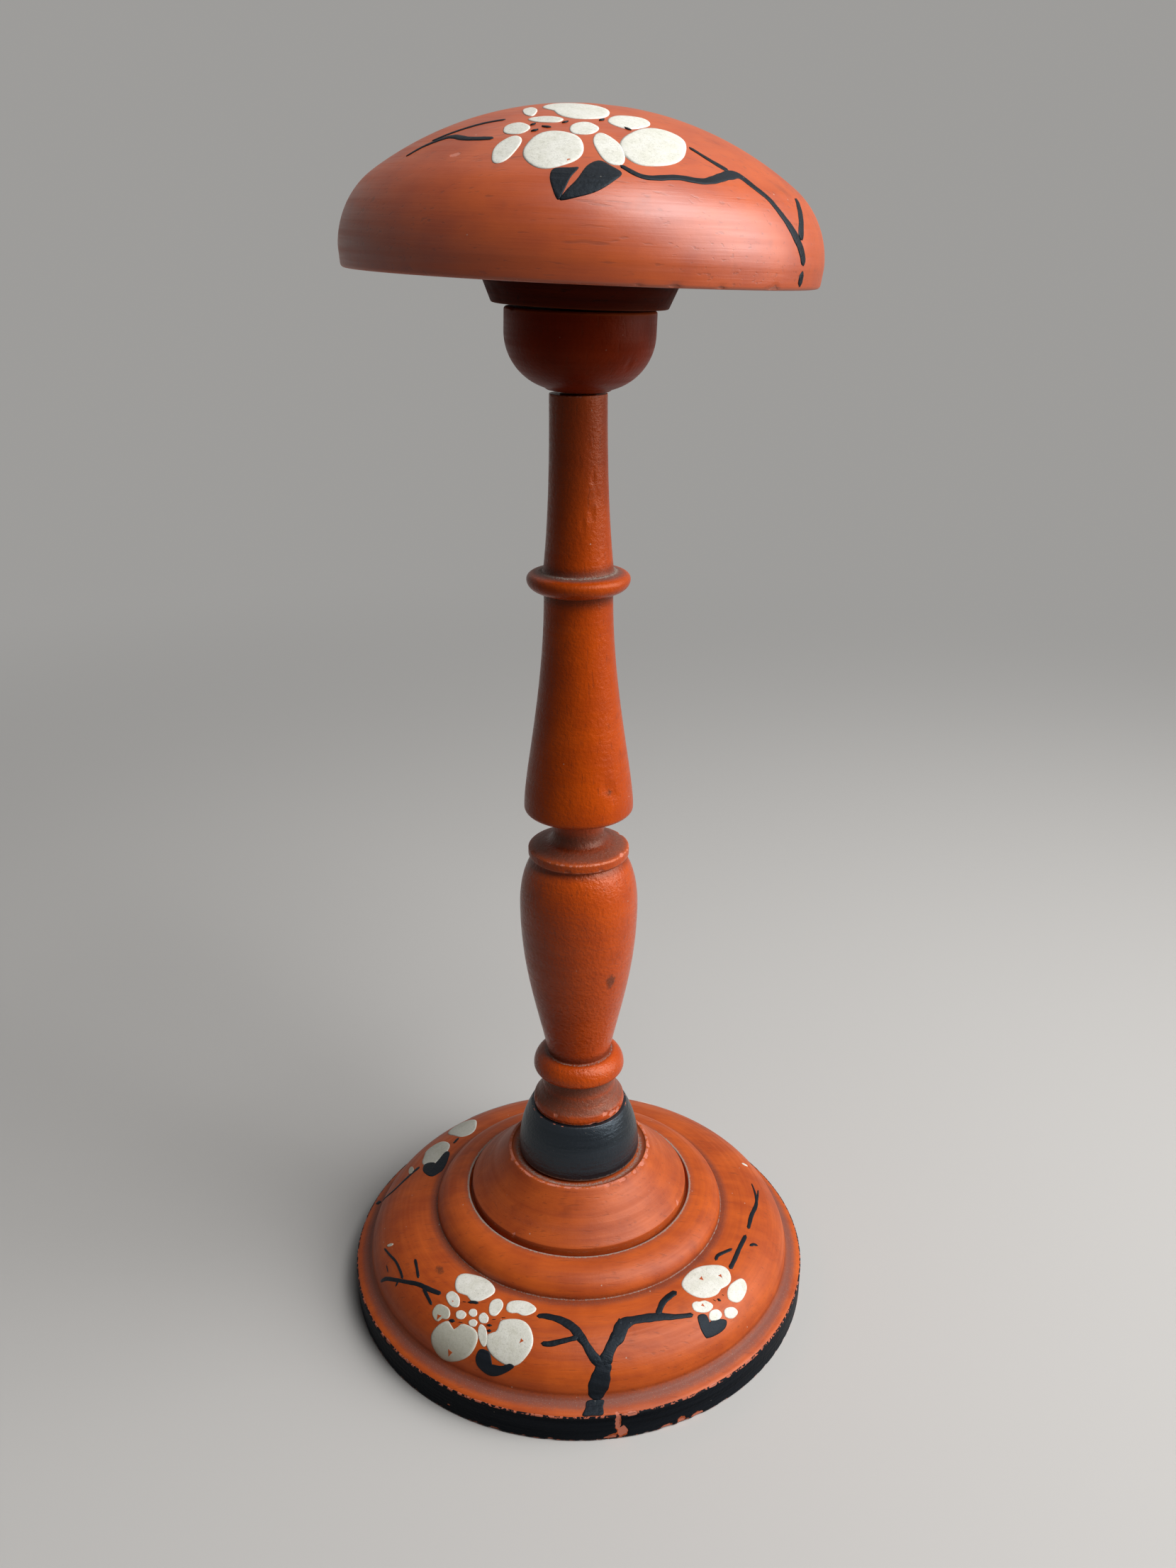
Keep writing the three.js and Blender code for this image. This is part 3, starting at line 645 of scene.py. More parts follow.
class Paint:
    """Thick paint laid on a turning: each dab or stroke is one closed skin, sunk a little at its back."""

    RINGS = (0.0, 0.22, 0.42, 0.6, 0.75, 0.86, 0.94, 1.0)
    CROWN = (0.98, 0.98, 0.98, 0.99, 1.0, 1.0, 0.88, 0.25)
    ROUND = 44
    STEP = 0.5
    SECTION = ((-1.0, 0.0), (-0.8, 0.85), (-0.35, 1.0), (0.35, 1.0), (0.8, 0.85), (1.0, 0.0))

    def __init__(self, turning, seed):
        self.turning = turning
        self.chance = np.random.default_rng(seed)
        self.points, self.faces, self.count = [], [], 0
        self.marks = {"rim": [], "shade": [], "along": []}

    def keep(self, points, faces, rim, shade, along):
        self.points.append(points)
        self.faces += [[self.count + i for i in face] for face in faces]
        self.count += len(points)
        self.marks["rim"].append(rim)
        self.marks["shade"].append(np.full(len(points), float(shade)))
        self.marks["along"].append(along)

    def dab(self, outline, thick=PAINT_THICK, shade=0.0):
        """A dab inside a closed outline of (angle, along) places."""
        outline = np.array(outline, float)
        outline[:, 0] = np.unwrap(outline[:, 0])
        rim = closed_curve(outline, self.ROUND)
        heart = rim.mean(0)
        rings = np.array(self.RINGS[1:])[:, None, None]
        spread = (heart + (rim - heart) * rings).reshape(-1, 2)
        crown = np.repeat(self.CROWN[1:], self.ROUND) * thick
        share = np.repeat(self.RINGS[1:], self.ROUND)
        places = np.concatenate([[heart], spread, rim, [heart]])
        proud = np.concatenate([[self.CROWN[0] * thick], crown, np.full(self.ROUND + 1, -PAINT_SUNK)])
        rims = np.concatenate([[0.0], share, np.ones(self.ROUND), [0.0]])
        points = self.turning.point(places[:, 0], places[:, 1], proud)
        n = self.ROUND
        layers = len(self.RINGS)
        turn = np.sign(np.cross(rim[0] - heart, rim[n // 4] - heart))
        faces = []
        for i in range(n):
            j = (i + 1) % n
            faces.append([0, 1 + i, 1 + j])
            for k in range(layers - 1):
                a, b = 1 + k * n, 1 + (k + 1) * n
                faces.append([a + i, b + i, b + j, a + j])
            faces.append([1 + (layers - 1) * n + j, 1 + (layers - 1) * n + i, len(points) - 1])
        if turn < 0:
            faces = [face[::-1] for face in faces]
        self.keep(points, faces, rims, shade, places[:, 1])

    def stroke(self, path, thick=PAINT_THICK):
        """A brush stroke along (angle, along, half width) places, with round ends."""
        path = np.array(path, float)
        reach = self.turning.radius_at(path[:, 1]).mean()
        path[:, 0] = np.unwrap(path[:, 0]) * reach
        line = open_curve(path, self.STEP)
        angle, along, half = line[:, 0] / reach, line[:, 1], line[:, 2]
        radius = self.turning.radius_at(along)
        east, north = np.gradient(angle) * radius, np.gradient(along)
        norm = np.hypot(east, north) + 1e-9
        walked = np.concatenate([[0], np.cumsum(norm[1:])])
        from_end = np.minimum(walked, walked[-1] - walked)
        closing = np.clip(from_end / np.maximum(half, 0.05), 0, 1)
        ragged = 1 + 0.07 * np.sin(walked * 1.7 + self.chance.uniform(0, 6)) * np.sin(walked * 0.6)
        half = half * np.maximum(np.sqrt(1 - (1 - closing) ** 2), 0.12) * ragged
        places, proud = [], []
        for side, rise in self.SECTION:
            places.append((angle - north / norm * half * side / radius, along + east / norm * half * side))
            proud.append(np.full(len(angle), rise * thick + (0.02 if rise == 0 else 0)))
        for side in (1.0, -1.0):
            places.append((angle - north / norm * half * side / radius, along + east / norm * half * side))
            proud.append(np.full(len(angle), -PAINT_SUNK))
        grid = np.stack([self.turning.point(a, s, p) for (a, s), p in zip(places, proud)], 1)
        around = grid.shape[1]
        faces = []
        for i in range(len(angle) - 1):
            for k in range(around):
                m = (k + 1) % around
                faces.append([i * around + k, (i + 1) * around + k, (i + 1) * around + m, i * around + m])
        faces.append(list(range(around)))
        faces.append([(len(angle) - 1) * around + k for k in range(around)][::-1])
        self.keep(grid.reshape(-1, 3), faces, np.zeros(grid.size // 3), 0.0, np.repeat(along, around))

    def build(self, name, material, place=Matrix.Identity(4)):
        marks = {label: np.concatenate(values) for label, values in self.marks.items()}
        piece = mesh_piece(name, np.concatenate(self.points), self.faces, marks, place)
        piece.data.materials.append(material)
        return piece


def petal(right, up, half_wide, half_tall, tilt=0, notch=None):
    """A petal's outline in mm round a blossom's heart. A notch is (direction, depth, spread)."""
    t = np.linspace(0, 2 * math.pi, 22, endpoint=False)
    turn = math.radians(tilt)
    x, y = half_wide * np.cos(t), half_tall * np.sin(t)
    x, y = x * math.cos(turn) - y * math.sin(turn), x * math.sin(turn) + y * math.cos(turn)
    if notch:
        direction, depth, spread = notch
        off = (np.degrees(np.arctan2(y, x)) - direction + 180) % 360 - 180
        bite = 1 - depth * np.exp(-((off / spread) ** 2))
        x, y = x * bite, y * bite
    uneven = 1 + 0.03 * np.sin(3 * t + right) + 0.02 * np.sin(5 * t + up)
    return np.stack([right + x * uneven, up + y * uneven], -1)


def on_flange(heart, outline):
    """Places on the flange of mm round a heart of (degrees from the front, mm up from its foot)."""
    outline = np.array(outline, float)
    along = flange_foot_along + heart[1] + outline[:, 1]
    angle = math.radians(heart[0]) + outline[:, 0] / base_turning.radius_at(along)
    return np.stack([angle, along], -1)


def up_flange(path):
    """Places of (degrees from the front, mm up from the flange's foot), any width kept."""
    return [(math.radians(p[0]), flange_foot_along + p[1], *p[2:]) for p in path]


def white_paint(name):
    """Thick cream paint: mottled, paler at its rim as a painted highlight on the raised edge, specked dark,
    with a few flakes gone.
    """
    material, tree, shader = new_material(name)
    spot = millimetres(tree)
    cloudy = ramp(grown(tree, spot, 0.35, 4.0, 0.65), 0.35, 0.7)
    colour = blend(cloudy, (0.8, 0.79, 0.72), (0.7, 0.69, 0.6))
    veins = ramp(grown(tree, spot, 1.6, 4.0, 0.75), 0.5, 0.66)
    colour = blend(times(veins, 0.3), colour, (0.34, 0.33, 0.26))
    colour = blend(mark(tree, "shade"), colour, (0.4, 0.39, 0.3))
    pits = ramp(grown(tree, spot, 5.2, 2.0), 0.6, 0.7)
    colour = blend(times(pits, 0.45), colour, (0.22, 0.2, 0.15))
    # The rim is painted paler: a painted highlight along the raised edge of each dab.
    colour = blend(ramp(mark(tree, "rim"), 0.84, 0.96, 0.2), colour, (0.82, 0.81, 0.75))
    lost = ramp(grown(tree, spot, 0.45, 2.0), 0.76, 0.78)
    colour = blend(lost, colour, (0.5, 0.13, 0.05))
    rough = plus(times(cloudy, 0.15), 0.5)
    relief = minus(grown(tree, spot, 1.3, 4.0), times(pits, 0.6))
    coat(tree, shader, colour, rough, relief, 0.5, 0.00012)
    return material


# Each petal: right and up from the heart, half sizes and tilt, perhaps a notch, then its shade.
LEFT_BLOSSOM = (-29, 12.5)
LEFT_PETALS = [
    ((-6.6, 7.6, 5.9, 3.7, 12, (-100, 0.28, 20)), 0.0),
    ((-9.8, 2.1, 2.5, 1.6, -13), 0.1),
    ((-11.1, -2.3, 2.8, 2.0, 19, (-45, 0.35, 26)), 0.75),
    ((-5.6, -0.1, 1.5, 1.1, 16), 0.0),
    ((-2.8, 1.7, 1.2, 1.0), 0.0),
    ((-1.5, -0.5, 1.2, 0.9, 10), 0.1),
    ((0.5, 1.6, 1.5, 1.2, -30), 0.0),
    ((1.8, 5.4, 2.5, 1.75, -74), 0.05),
    ((7.7, 7.1, 3.8, 2.4, 4, (-90, 0.4, 40)), 0.0),
    ((-4.9, -6.6, 7.0, 4.8, 27, (104, 0.42, 15)), 0.6),
    ((2.3, -2.2, 2.8, 1.15, -53), 0.2),
    ((9.3, -1.5, 6.4, 5.3, -28, (160, 0.36, 15)), 0.2),
]
RIGHT_BLOSSOM = (44, 12)
RIGHT_PETALS = [
    ((2.1, 5.7, 7.4, 4.5, -18, (-68, 0.2, 22)), 0.05),
    ((7.3, -1.2, 4.0, 2.3, 1), 0.05),
    ((-4.4, 1.3, 2.8, 1.7, -25, (70, 0.25, 25)), 0.0),
    ((-2.9, -2.2, 2.0, 1.4, -4), 0.0),
    ((1.6, -4.0, 2.2, 1.4, -22), 0.0),
]
BACK_LEFT_BLOSSOM = (-118, 19)
BACK_LEFT_PETALS = [
    ((1.9, -2.6, 6.2, 3.9, 10, (-60, 0.15, 30)), 0.35),
    ((-12.3, -3.6, 7.0, 4.0, 39, (20, 0.15, 30)), 0.3),
    ((10.5, -6.5, 2.2, 0.9, 30), 0.7),
]
BEHIND_BLOSSOM = (158, 4.4)
BEHIND_PETALS = [
    ((0.4, 3, 3, 1.7, 10, (-90, 0.3, 22)), 0.1),
    ((4.8, 0.8, 2.4, 1.5, -20), 0.2),
    ((2.6, -2.4, 2.6, 1.6, -40, (130, 0.3, 20)), 0.0),
    ((-3, -2.2, 2.6, 1.6, 30, (50, 0.3, 20)), 0.3),
    ((-4.6, 1.2, 2.2, 1.4, 15), 0.1),
    ((0.1, 0.2, 0.8, 0.6), 0.0),
]
SIDE_SPARKS = [
    ((0, 0, 1.1, 0.45, 60), 0.6, (-73.5, 9.8)),
    ((0, 0, 1.0, 0.5, 70), 0.1, (110, 11.7)),
]
base_white = Paint(base_turning, seed=11)
for blossom, petals in (
    (LEFT_BLOSSOM, LEFT_PETALS),
    (RIGHT_BLOSSOM, RIGHT_PETALS),
    (BACK_LEFT_BLOSSOM, BACK_LEFT_PETALS),
    (BEHIND_BLOSSOM, BEHIND_PETALS),
):
    for shape, shade in petals:
        base_white.dab(on_flange(blossom, petal(*shape)), shade=shade)
for shape, shade, spot in SIDE_SPARKS:
    base_white.dab(on_flange(spot, petal(*shape)), shade=shade)
cream = white_paint("cream_paint")
base_petals = base_white.build("base_petals", cream)
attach(base_petals, "base")

# Flakes gone from the petals: three corners each, in mm round the blossom's heart.
PETAL_FLAKES = [
    (LEFT_BLOSSOM, [(-5.4, -8.6), (-4, -8.9), (-4.9, -10.4)]),
    (LEFT_BLOSSOM, [(-11.8, -3), (-10.5, -2.7), (-11.3, -4.2)]),
    (LEFT_BLOSSOM, [(11.9, -0.3), (12.8, -0.8), (12, -1.5)]),
    (RIGHT_BLOSSOM, [(0.6, 7.4), (1.8, 7.6), (1.2, 6.4)]),
    (RIGHT_BLOSSOM, [(5.6, 4.8), (6.6, 4.6), (6, 3.7)]),
    (RIGHT_BLOSSOM, [(-4.6, 1.6), (-3.8, 1.9), (-4, 0.9)]),
]
flake_paint = Paint(base_turning, seed=16)
for blossom, corners in PETAL_FLAKES:
    sides = [(np.array(corners[k]) * 2 + np.array(corners[(k + 1) % 3])) / 3 for k in range(3)]
    outline = [spot for pair in zip(corners, sides) for spot in pair]
    flake_paint.dab(on_flange(blossom, outline), thick=FLAKE_THICK)
base_flakes = flake_paint.build("base_petal_flakes", base_finish)
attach(base_flakes, "base")

# Each branch: degrees from the front, mm up from the flange's foot, half width.
BASE_BRANCHES = {
    "trunk": [
        (4.3, -1.2, 2.2), (4.7, 0.8, 2.3), (5.2, 2.6, 2.5), (5.8, 4.4, 2.4), (6.3, 6, 2.1), (7.2, 8.6, 2),
    ],
    "right limb": [
        (6.6, 7.2, 1.8), (9.2, 11.3, 1.35), (11.6, 13.6, 1.8), (13.6, 16, 1.7), (17.5, 16.7, 1.15),
        (24.7, 15.8, 1.15), (29, 14.4, 0.75), (35, 12.7, 0.55),
    ],
    "stub": [(13.2, 16.2, 0.8), (13, 17.9, 0.6)],
    "right twig": [(24.9, 16.2, 0.8), (28.5, 18.8, 0.8), (32.5, 19.8, 0.85), (35, 19.9, 0.85)],
    "left limb": [
        (7, 6.4, 1.2), (4.3, 9.2, 1.2), (2.1, 12.5, 1), (0.7, 14.2, 1.2), (-1.5, 16.5, 1.2),
        (-5.5, 18.3, 1), (-10.2, 18.9, 0.8), (-13, 18.5, 0.55),
    ],
    "left twig": [(0.2, 14, 0.7), (-3.9, 13, 0.65), (-7.6, 12, 0.75), (-10, 11.9, 0.5)],
    "outer stem": [
        (-66.6, 2.8, 0.4), (-64.5, 5.3, 0.55), (-60.5, 7.9, 0.5), (-57, 9.9, 0.55), (-53.4, 11.7, 0.6),
        (-49.2, 12.8, 0.65), (-44.9, 13.9, 0.6),
    ],
    "upper twig": [
        (-74.2, 7.8, 0.25), (-70, 9, 0.3), (-66.2, 9.9, 0.35), (-62.4, 9.9, 0.35), (-59.2, 9.4, 0.4),
    ],
    "short twig": [(-62, 14.7, 0.4), (-58.6, 13.9, 0.4), (-55, 12.7, 0.4)],
    "lower twig": [(-51.2, 12, 0.4), (-47.8, 11.2, 0.45), (-45, 10.4, 0.35)],
    "spur": [(-60, 8.2, 0.35), (-59.5, 6.6, 0.25)],
    "faint twig": [(-68, 7, 0.14), (-65.5, 6.6, 0.14)],
    "side branch": [(56, 15.8, 0.6), (60, 16.2, 0.6), (66, 16.6, 0.6), (72.6, 16.3, 0.55)],
    "side branch end": [(75.8, 16.1, 0.5), (82.5, 15.6, 0.6), (90.6, 13.6, 0.5), (99.5, 13.4, 0.2)],
    "side tip": [(91, 13.4, 0.35), (97, 11.9, 0.2)],
    "side mark": [(69, 14.4, 0.4), (70.6, 13.5, 0.45), (71, 12.3, 0.35)],
    "side twig": [(55.5, 20, 0.45), (58.4, 20.3, 0.5), (64, 18.2, 0.45)],
    "back left branch": [(-107.4, 15, 0.6), (-101.4, 12, 0.5), (-97.8, 8.5, 0.45), (-98.4, 3.4, 0.4)],
    "back left blot": [(-104, -3.6, 0.8), (-102.4, -3, 1)],
    "back left stroke": [(-122.6, 19.5, 0.4), (-126.4, 18.9, 0.4)],
    "behind stem": [
        (-142, 7, 0.4), (-150, 7.4, 0.5), (-160, 7.6, 0.7), (-170, 6.6, 0.8), (176, 6.4, 0.6),
        (168, 6, 0.5),
    ],
    "behind limb": [(-163, 7.6, 0.6), (-168, 8.8, 0.5), (-175, 9, 0.4)],
    "behind twig": [(-152, 7.4, 0.5), (-156, 4.6, 0.5), (-161, 3, 0.4)],
    "behind trunk": [(-171, 6.4, 0.8), (-174, 3.6, 1), (-173, 0.6, 0.9)],
    "behind tip": [(147, 4.6, 0.5), (138, 5.2, 0.5), (129, 4.4, 0.4), (122, 4, 0.25)],
}
# Leaves and stamens, in the same numbers. A leaf is two lobes, with the ground between them as its vein.
BASE_LEAVES = [
    [
        (-26, 6.9), (-24.4, 7.4), (-22.9, 6.9), (-21.8, 4.9), (-21.2, 2.4), (-22.5, 1.8), (-25.3, 3),
        (-26.4, 4.8),
    ],
    [(-22, 4.6), (-19.2, 5), (-16.9, 6.2), (-16, 5.4), (-18.2, 3.4), (-20.6, 2), (-22.6, 1.9), (-23, 3.2)],
    [(35.7, 11.6), (37.2, 11.9), (38.5, 11), (38.2, 9), (37, 6.8), (35.4, 6.3), (34.9, 8.8)],
    [(37.4, 8.8), (39.4, 9.3), (41.4, 8.6), (43.2, 7.2), (41.8, 5.9), (38.8, 5.7), (35.5, 6.3), (36, 7.8)],
    [
        (-108.9, 16.2), (-110.2, 18), (-108.8, 20.2), (-105.6, 22.6), (-102, 21.6), (-101.8, 19.8),
        (-105, 17),
    ],
    [
        (-108.6, 19.6), (-112, 19.7), (-117, 19.6), (-116.4, 21.4), (-110, 22.9), (-104.6, 22.8),
        (-104.6, 20.6),
    ],
    [(166, 4), (168, 4.4), (169.6, 3.2), (168, 1.8), (166, 2)],
]
# The trunk carries on below the quirk, as a broad foot on the ledge.
TRUNK_FOOT = [(2.5, -1.2), (6.2, -1.2), (6, -2.8), (5.8, -4.7), (3.4, -4.8), (1.2, -4.7), (1.9, -2.9)]
BASE_STAMENS = [
    [(-37.1, 15.4, 0.5), (-36.2, 15.7, 0.5)],
    [(-35.6, 15.9, 0.4), (-34.2, 16.6, 0.42), (-32.4, 17, 0.35)],
    [(-37.6, 9.9, 0.4), (-35.8, 10.4, 0.45)],
    [(-34.6, 10.7, 0.4), (-33.6, 11, 0.4)],
    [(-25.7, 14.6, 0.45), (-24.8, 14.9, 0.45)],
    [(-23.3, 15.8, 0.45), (-22.3, 16.1, 0.45)],
    [(-26.6, 12.9, 0.35), (-25, 13.2, 0.4)],
    [(-25.8, 11.7, 0.45), (-24.6, 11.9, 0.45)],
    [(43.3, 13.1, 0.3), (43.7, 12.5, 0.3)],
    [(44.6, 12.7, 0.4), (45.1, 11.7, 0.35)],
    [(46.8, 12.7, 0.25), (47.1, 12.3, 0.25)],
]
base_black = Paint(base_turning, seed=12)
for path in BASE_BRANCHES.values():
    base_black.stroke(up_flange(path))
for outline in (*BASE_LEAVES, TRUNK_FOOT):
    base_black.dab(up_flange(outline))
for path in BASE_STAMENS:
    base_black.stroke(up_flange(path), thick=STAMEN_THICK)
ink = black_paint("branch_paint", streak=0.8, sheen=0.42, gloss=0.22)
base_branches = base_black.build("base_branches", ink)
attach(base_branches, "base")

# Collar
# A cone-shaped disc with a sharp lip round a shallow dish, glued into the base by its tenon.
# It is lacquered like the base. Dust fills the crevice round it and the ring under the stem.
COLLAR_EDGE = 3.4
COLLAR_CORNER = 0.3
LIP_RADIUS = 19.1
LIP_WIDTH = 0.7
DISH_WIDTH = 2.2
DISH_DEPTH = 0.8
CONE_HANDLES = ((26, 33.1), (22.2, 37))
TENON_RADIUS = 14
BORE_RADIUS = 5.15
WIDE_SIDES = 320
collar_radius = collar_high.x
lip_height = collar_high.z
dish_edge = LIP_RADIUS - LIP_WIDTH
edge_top = collar_seat + COLLAR_EDGE
collar_turning = Turning(
    [
        (BORE_RADIUS, collar_low.z),
        (TENON_RADIUS, collar_low.z),
        (TENON_RADIUS, collar_seat),
        (collar_radius - COLLAR_CORNER, collar_seat),
        (collar_radius, collar_seat + COLLAR_CORNER),
        (collar_radius, edge_top - COLLAR_CORNER),
        *sweep((collar_radius - COLLAR_CORNER, edge_top), *CONE_HANDLES, (LIP_RADIUS, lip_height)),
        (dish_edge, lip_height),
        *arc(dish_edge - DISH_WIDTH, lip_height, DISH_WIDTH, DISH_DEPTH, 0, -1)[1:],
        (BORE_RADIUS, lip_height - DISH_DEPTH),
        (BORE_RADIUS, collar_low.z),
    ],
    seed=5,
    wear=0.13,
    wander=0.04,
)
LIP_CHIPS = [
    (38, 3.2, 1.6, 0.5), (52, 2, 1.2, 0.35), (24, 1.6, 1, 0.25), (64, 2.6, 1.4, 0.35),
    (74, 3, 1.6, 0.4), (88, 2, 1.2, 0.3), (-70, 1.8, 1, 0.25), (142, 2.4, 1.2, 0.3),
]
RIM_CHIPS = [(66, 1.6, 1, 0.2), (-35, 1.4, 0.8, 0.15), (-150, 2, 1, 0.2)]
collar_piece = collar_turning.build(
    "collar_turning",
    WIDE_SIDES,
    dust=[(dish_edge - 1.6, lip_height - 0.75, 1.2, 0.66), (collar_radius, roll_top + 0.1, 0.5, 0.74)],
    film=[(collar_radius - 3, edge_top + 3, 2.5, 0.25), (dish_edge - 1, lip_height - 0.6, 1.2, 0.6)],
    nicks=round_edge(LIP_RADIUS, lip_height, LIP_CHIPS) + round_edge(collar_radius, edge_top, RIM_CHIPS),
)
collar_piece.data.materials.append(
    lacquer(
        "collar_lacquer", (0.53, 0.099, 0.015), (0.36, 0.056, 0.009), hold=0.45,
        grain=(0.16, 1.4, 1.4), gloss=0.42, peel=0.5, shine=(1, 0.84, 0.78),
    )
)
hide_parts("collar")
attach(collar_piece, "base")

# Dowels
# Plain hardwood pegs, unfinished. One stands the stem in the collar and one carries the cap in the
# cup, both loose in their sockets, and a thin one is glued between the two halves of the stem.
DOWEL_CHAMFER = 0.5
DOWEL_END_GAP = 0.5
DOWEL_SIDES = 96


def bare_wood(name):
    """Unfinished hardwood with its grain along the dowel, polished a little by handling."""
    material, tree, shader = new_material(name)
    wood = use(tree, wood_pores, Grain=(2.2, 2.2, 0.11))
    colour = blend(wood["Figure"], (0.56, 0.36, 0.17), (0.4, 0.23, 0.1))
    colour = blend(times(wood["Pore"], 0.6), colour, (0.2, 0.1, 0.04))
    colour = blend(ramp(mark(tree, "edge"), 0.2, 1.0, 0.5), colour, (0.3, 0.16, 0.07))
    rough = plus(times(wood["Figure"], 0.15), 0.55)
    coat(tree, shader, colour, rough, wood["Figure"], 0.4, 0.0001)
    return material


def dowel_turning(name, radius, bottom, top, seed, place=Matrix.Identity(4)):
    """A round peg with both end corners cut off."""
    outline = [
        (0, bottom),
        (radius - DOWEL_CHAMFER, bottom),
        (radius, bottom + DOWEL_CHAMFER),
        (radius, top - DOWEL_CHAMFER),
        (radius - DOWEL_CHAMFER, top),
        (0, top),
    ]
    return Turning(outline, seed, wear=0.08, wander=0.03).build(name, DOWEL_SIDES, place=place)


peg_wood = bare_wood("dowel_wood")
for node, body, seed in (("stem_dowel", "stem_dowel", 21), ("neck_dowel", "stem", 22)):
    low, high = (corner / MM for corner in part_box(node))
    peg = dowel_turning(node + "_turning", high.x, low.z, high.z, seed)
    peg.data.materials.append(peg_wood)
    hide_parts(node)
    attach(peg, body)

# Stem foot
# A black dome at the bottom of the stem, bored for the dowel that stands in the collar.
# Its brush paint is blue-black and glossier than the lacquer, with fine lumps and pale specks.
FOOT_CORNER = 1.2
FOOT_SHOULDER_RADIUS = 12.8
FOOT_SHOULDER_FLARE = 2.2
FOOT_SIDE_PULL = 0.4
FOOT_SHOULDER_PULL = 0.28
foot_low, foot_high = (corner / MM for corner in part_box("stem_foot"))
foot_radius = foot_high.x
foot_widest = foot_low.z + FOOT_CORNER
foot_rise = foot_high.z - foot_widest
foot_turning = Turning(
    [
        (BORE_RADIUS, foot_low.z),
        *arc(foot_radius - FOOT_CORNER, foot_widest, FOOT_CORNER, FOOT_CORNER, -1, 0),
        *sweep(
            (foot_radius, foot_widest),
            (foot_radius, foot_widest + foot_rise * FOOT_SIDE_PULL),
            (FOOT_SHOULDER_RADIUS + FOOT_SHOULDER_FLARE, foot_high.z - foot_rise * FOOT_SHOULDER_PULL),
            (FOOT_SHOULDER_RADIUS, foot_high.z),
        )[1:],
        (BORE_RADIUS, foot_high.z),
        (BORE_RADIUS, foot_low.z),
    ],
    seed=7,
    wander=0.08,
)
STEM_SIDES = 192
foot_piece = foot_turning.build(
    "stem_foot_turning", STEM_SIDES, dust=[(foot_radius - 0.4, foot_low.z + 0.3, 1.3, 0.8)]
)
foot_piece.data.materials.append(black_paint("foot_paint", streak=1.1, sheen=0.26, gloss=0.6))
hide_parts("stem_foot")
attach(foot_piece, "stem")

# Lower stem
# One turning: a disc with a hollow saucer on it, a bead, the vase, a second disc and the neck. The
# sharp discs are chipped and their tops hold a dull film. The halves of the stem meet at the bulb.
LOWER_DISC_EDGE = 2.4
LOWER_DISC_RADIUS = 12.2
LOWER_DISC_BEVEL = 0.25
SAUCER_RISE = 8.4
SAUCER_NECK_RADIUS = 8.8
SAUCER_OUTER_HANDLE = (10.7, 1.1)
SAUCER_INNER_HANDLE = (9.2, 4)
BEAD_RADIUS = 12.05
BEAD_CORNER_WIDTH = 1.15
BEAD_CORNER_RISE = 1.2
BEAD_UNDER_RISE = 0.2
BEAD_SHOULDER_RISE = 4.4
VASE_FOOT_RADIUS = 8.3
VASE_FOOT_FLARE = 2.5
VASE_BELLY_RADIUS = 14.95
VASE_BELLY_RISE = 43.4
VASE_FOOT_PULL = 0.3
VASE_BELLY_PULL = 0.42
VASE_SHOULDER_RADIUS = 11.6
VASE_SHOULDER_FLARE = 2.2
VASE_SHOULDER_RISE = 13.2
VASE_ROUND_PULL = 0.4
VASE_SHOULDER_PULL = 0.2
GROOVE_HEIGHT = 0.5
UPPER_DISC_RADIUS = 12.6
UPPER_DISC_EDGE = 2.6
UPPER_DISC_CORNER = 0.4
NECK_RADIUS = 6.4
NECK_FILLET = 2.4
NECK_HEIGHT = 5.65
lower_low, lower_high = (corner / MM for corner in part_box("lower_stem"))
disc_top = lower_low.z + LOWER_DISC_EDGE
disc_rim = LOWER_DISC_RADIUS - LOWER_DISC_BEVEL
bead_foot = disc_top + SAUCER_RISE
bead_middle = bead_foot + BEAD_UNDER_RISE + BEAD_CORNER_RISE
bead_flat = BEAD_RADIUS - BEAD_CORNER_WIDTH
vase_foot = bead_middle + BEAD_SHOULDER_RISE
vase_belly = vase_foot + VASE_BELLY_RISE
vase_top = vase_belly + VASE_SHOULDER_RISE
upper_disc_bottom = vase_top + GROOVE_HEIGHT
upper_disc_top = upper_disc_bottom + UPPER_DISC_EDGE
neck_foot = lower_high.z - NECK_HEIGHT
stem_dowel_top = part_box("stem_dowel")[1].z / MM + DOWEL_END_GAP
neck_dowel_low, neck_dowel_high = (corner.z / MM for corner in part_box("neck_dowel"))
NECK_HOLE = 3.15
saucer_handles = [(radius, disc_top + up) for radius, up in (SAUCER_OUTER_HANDLE, SAUCER_INNER_HANDLE)]
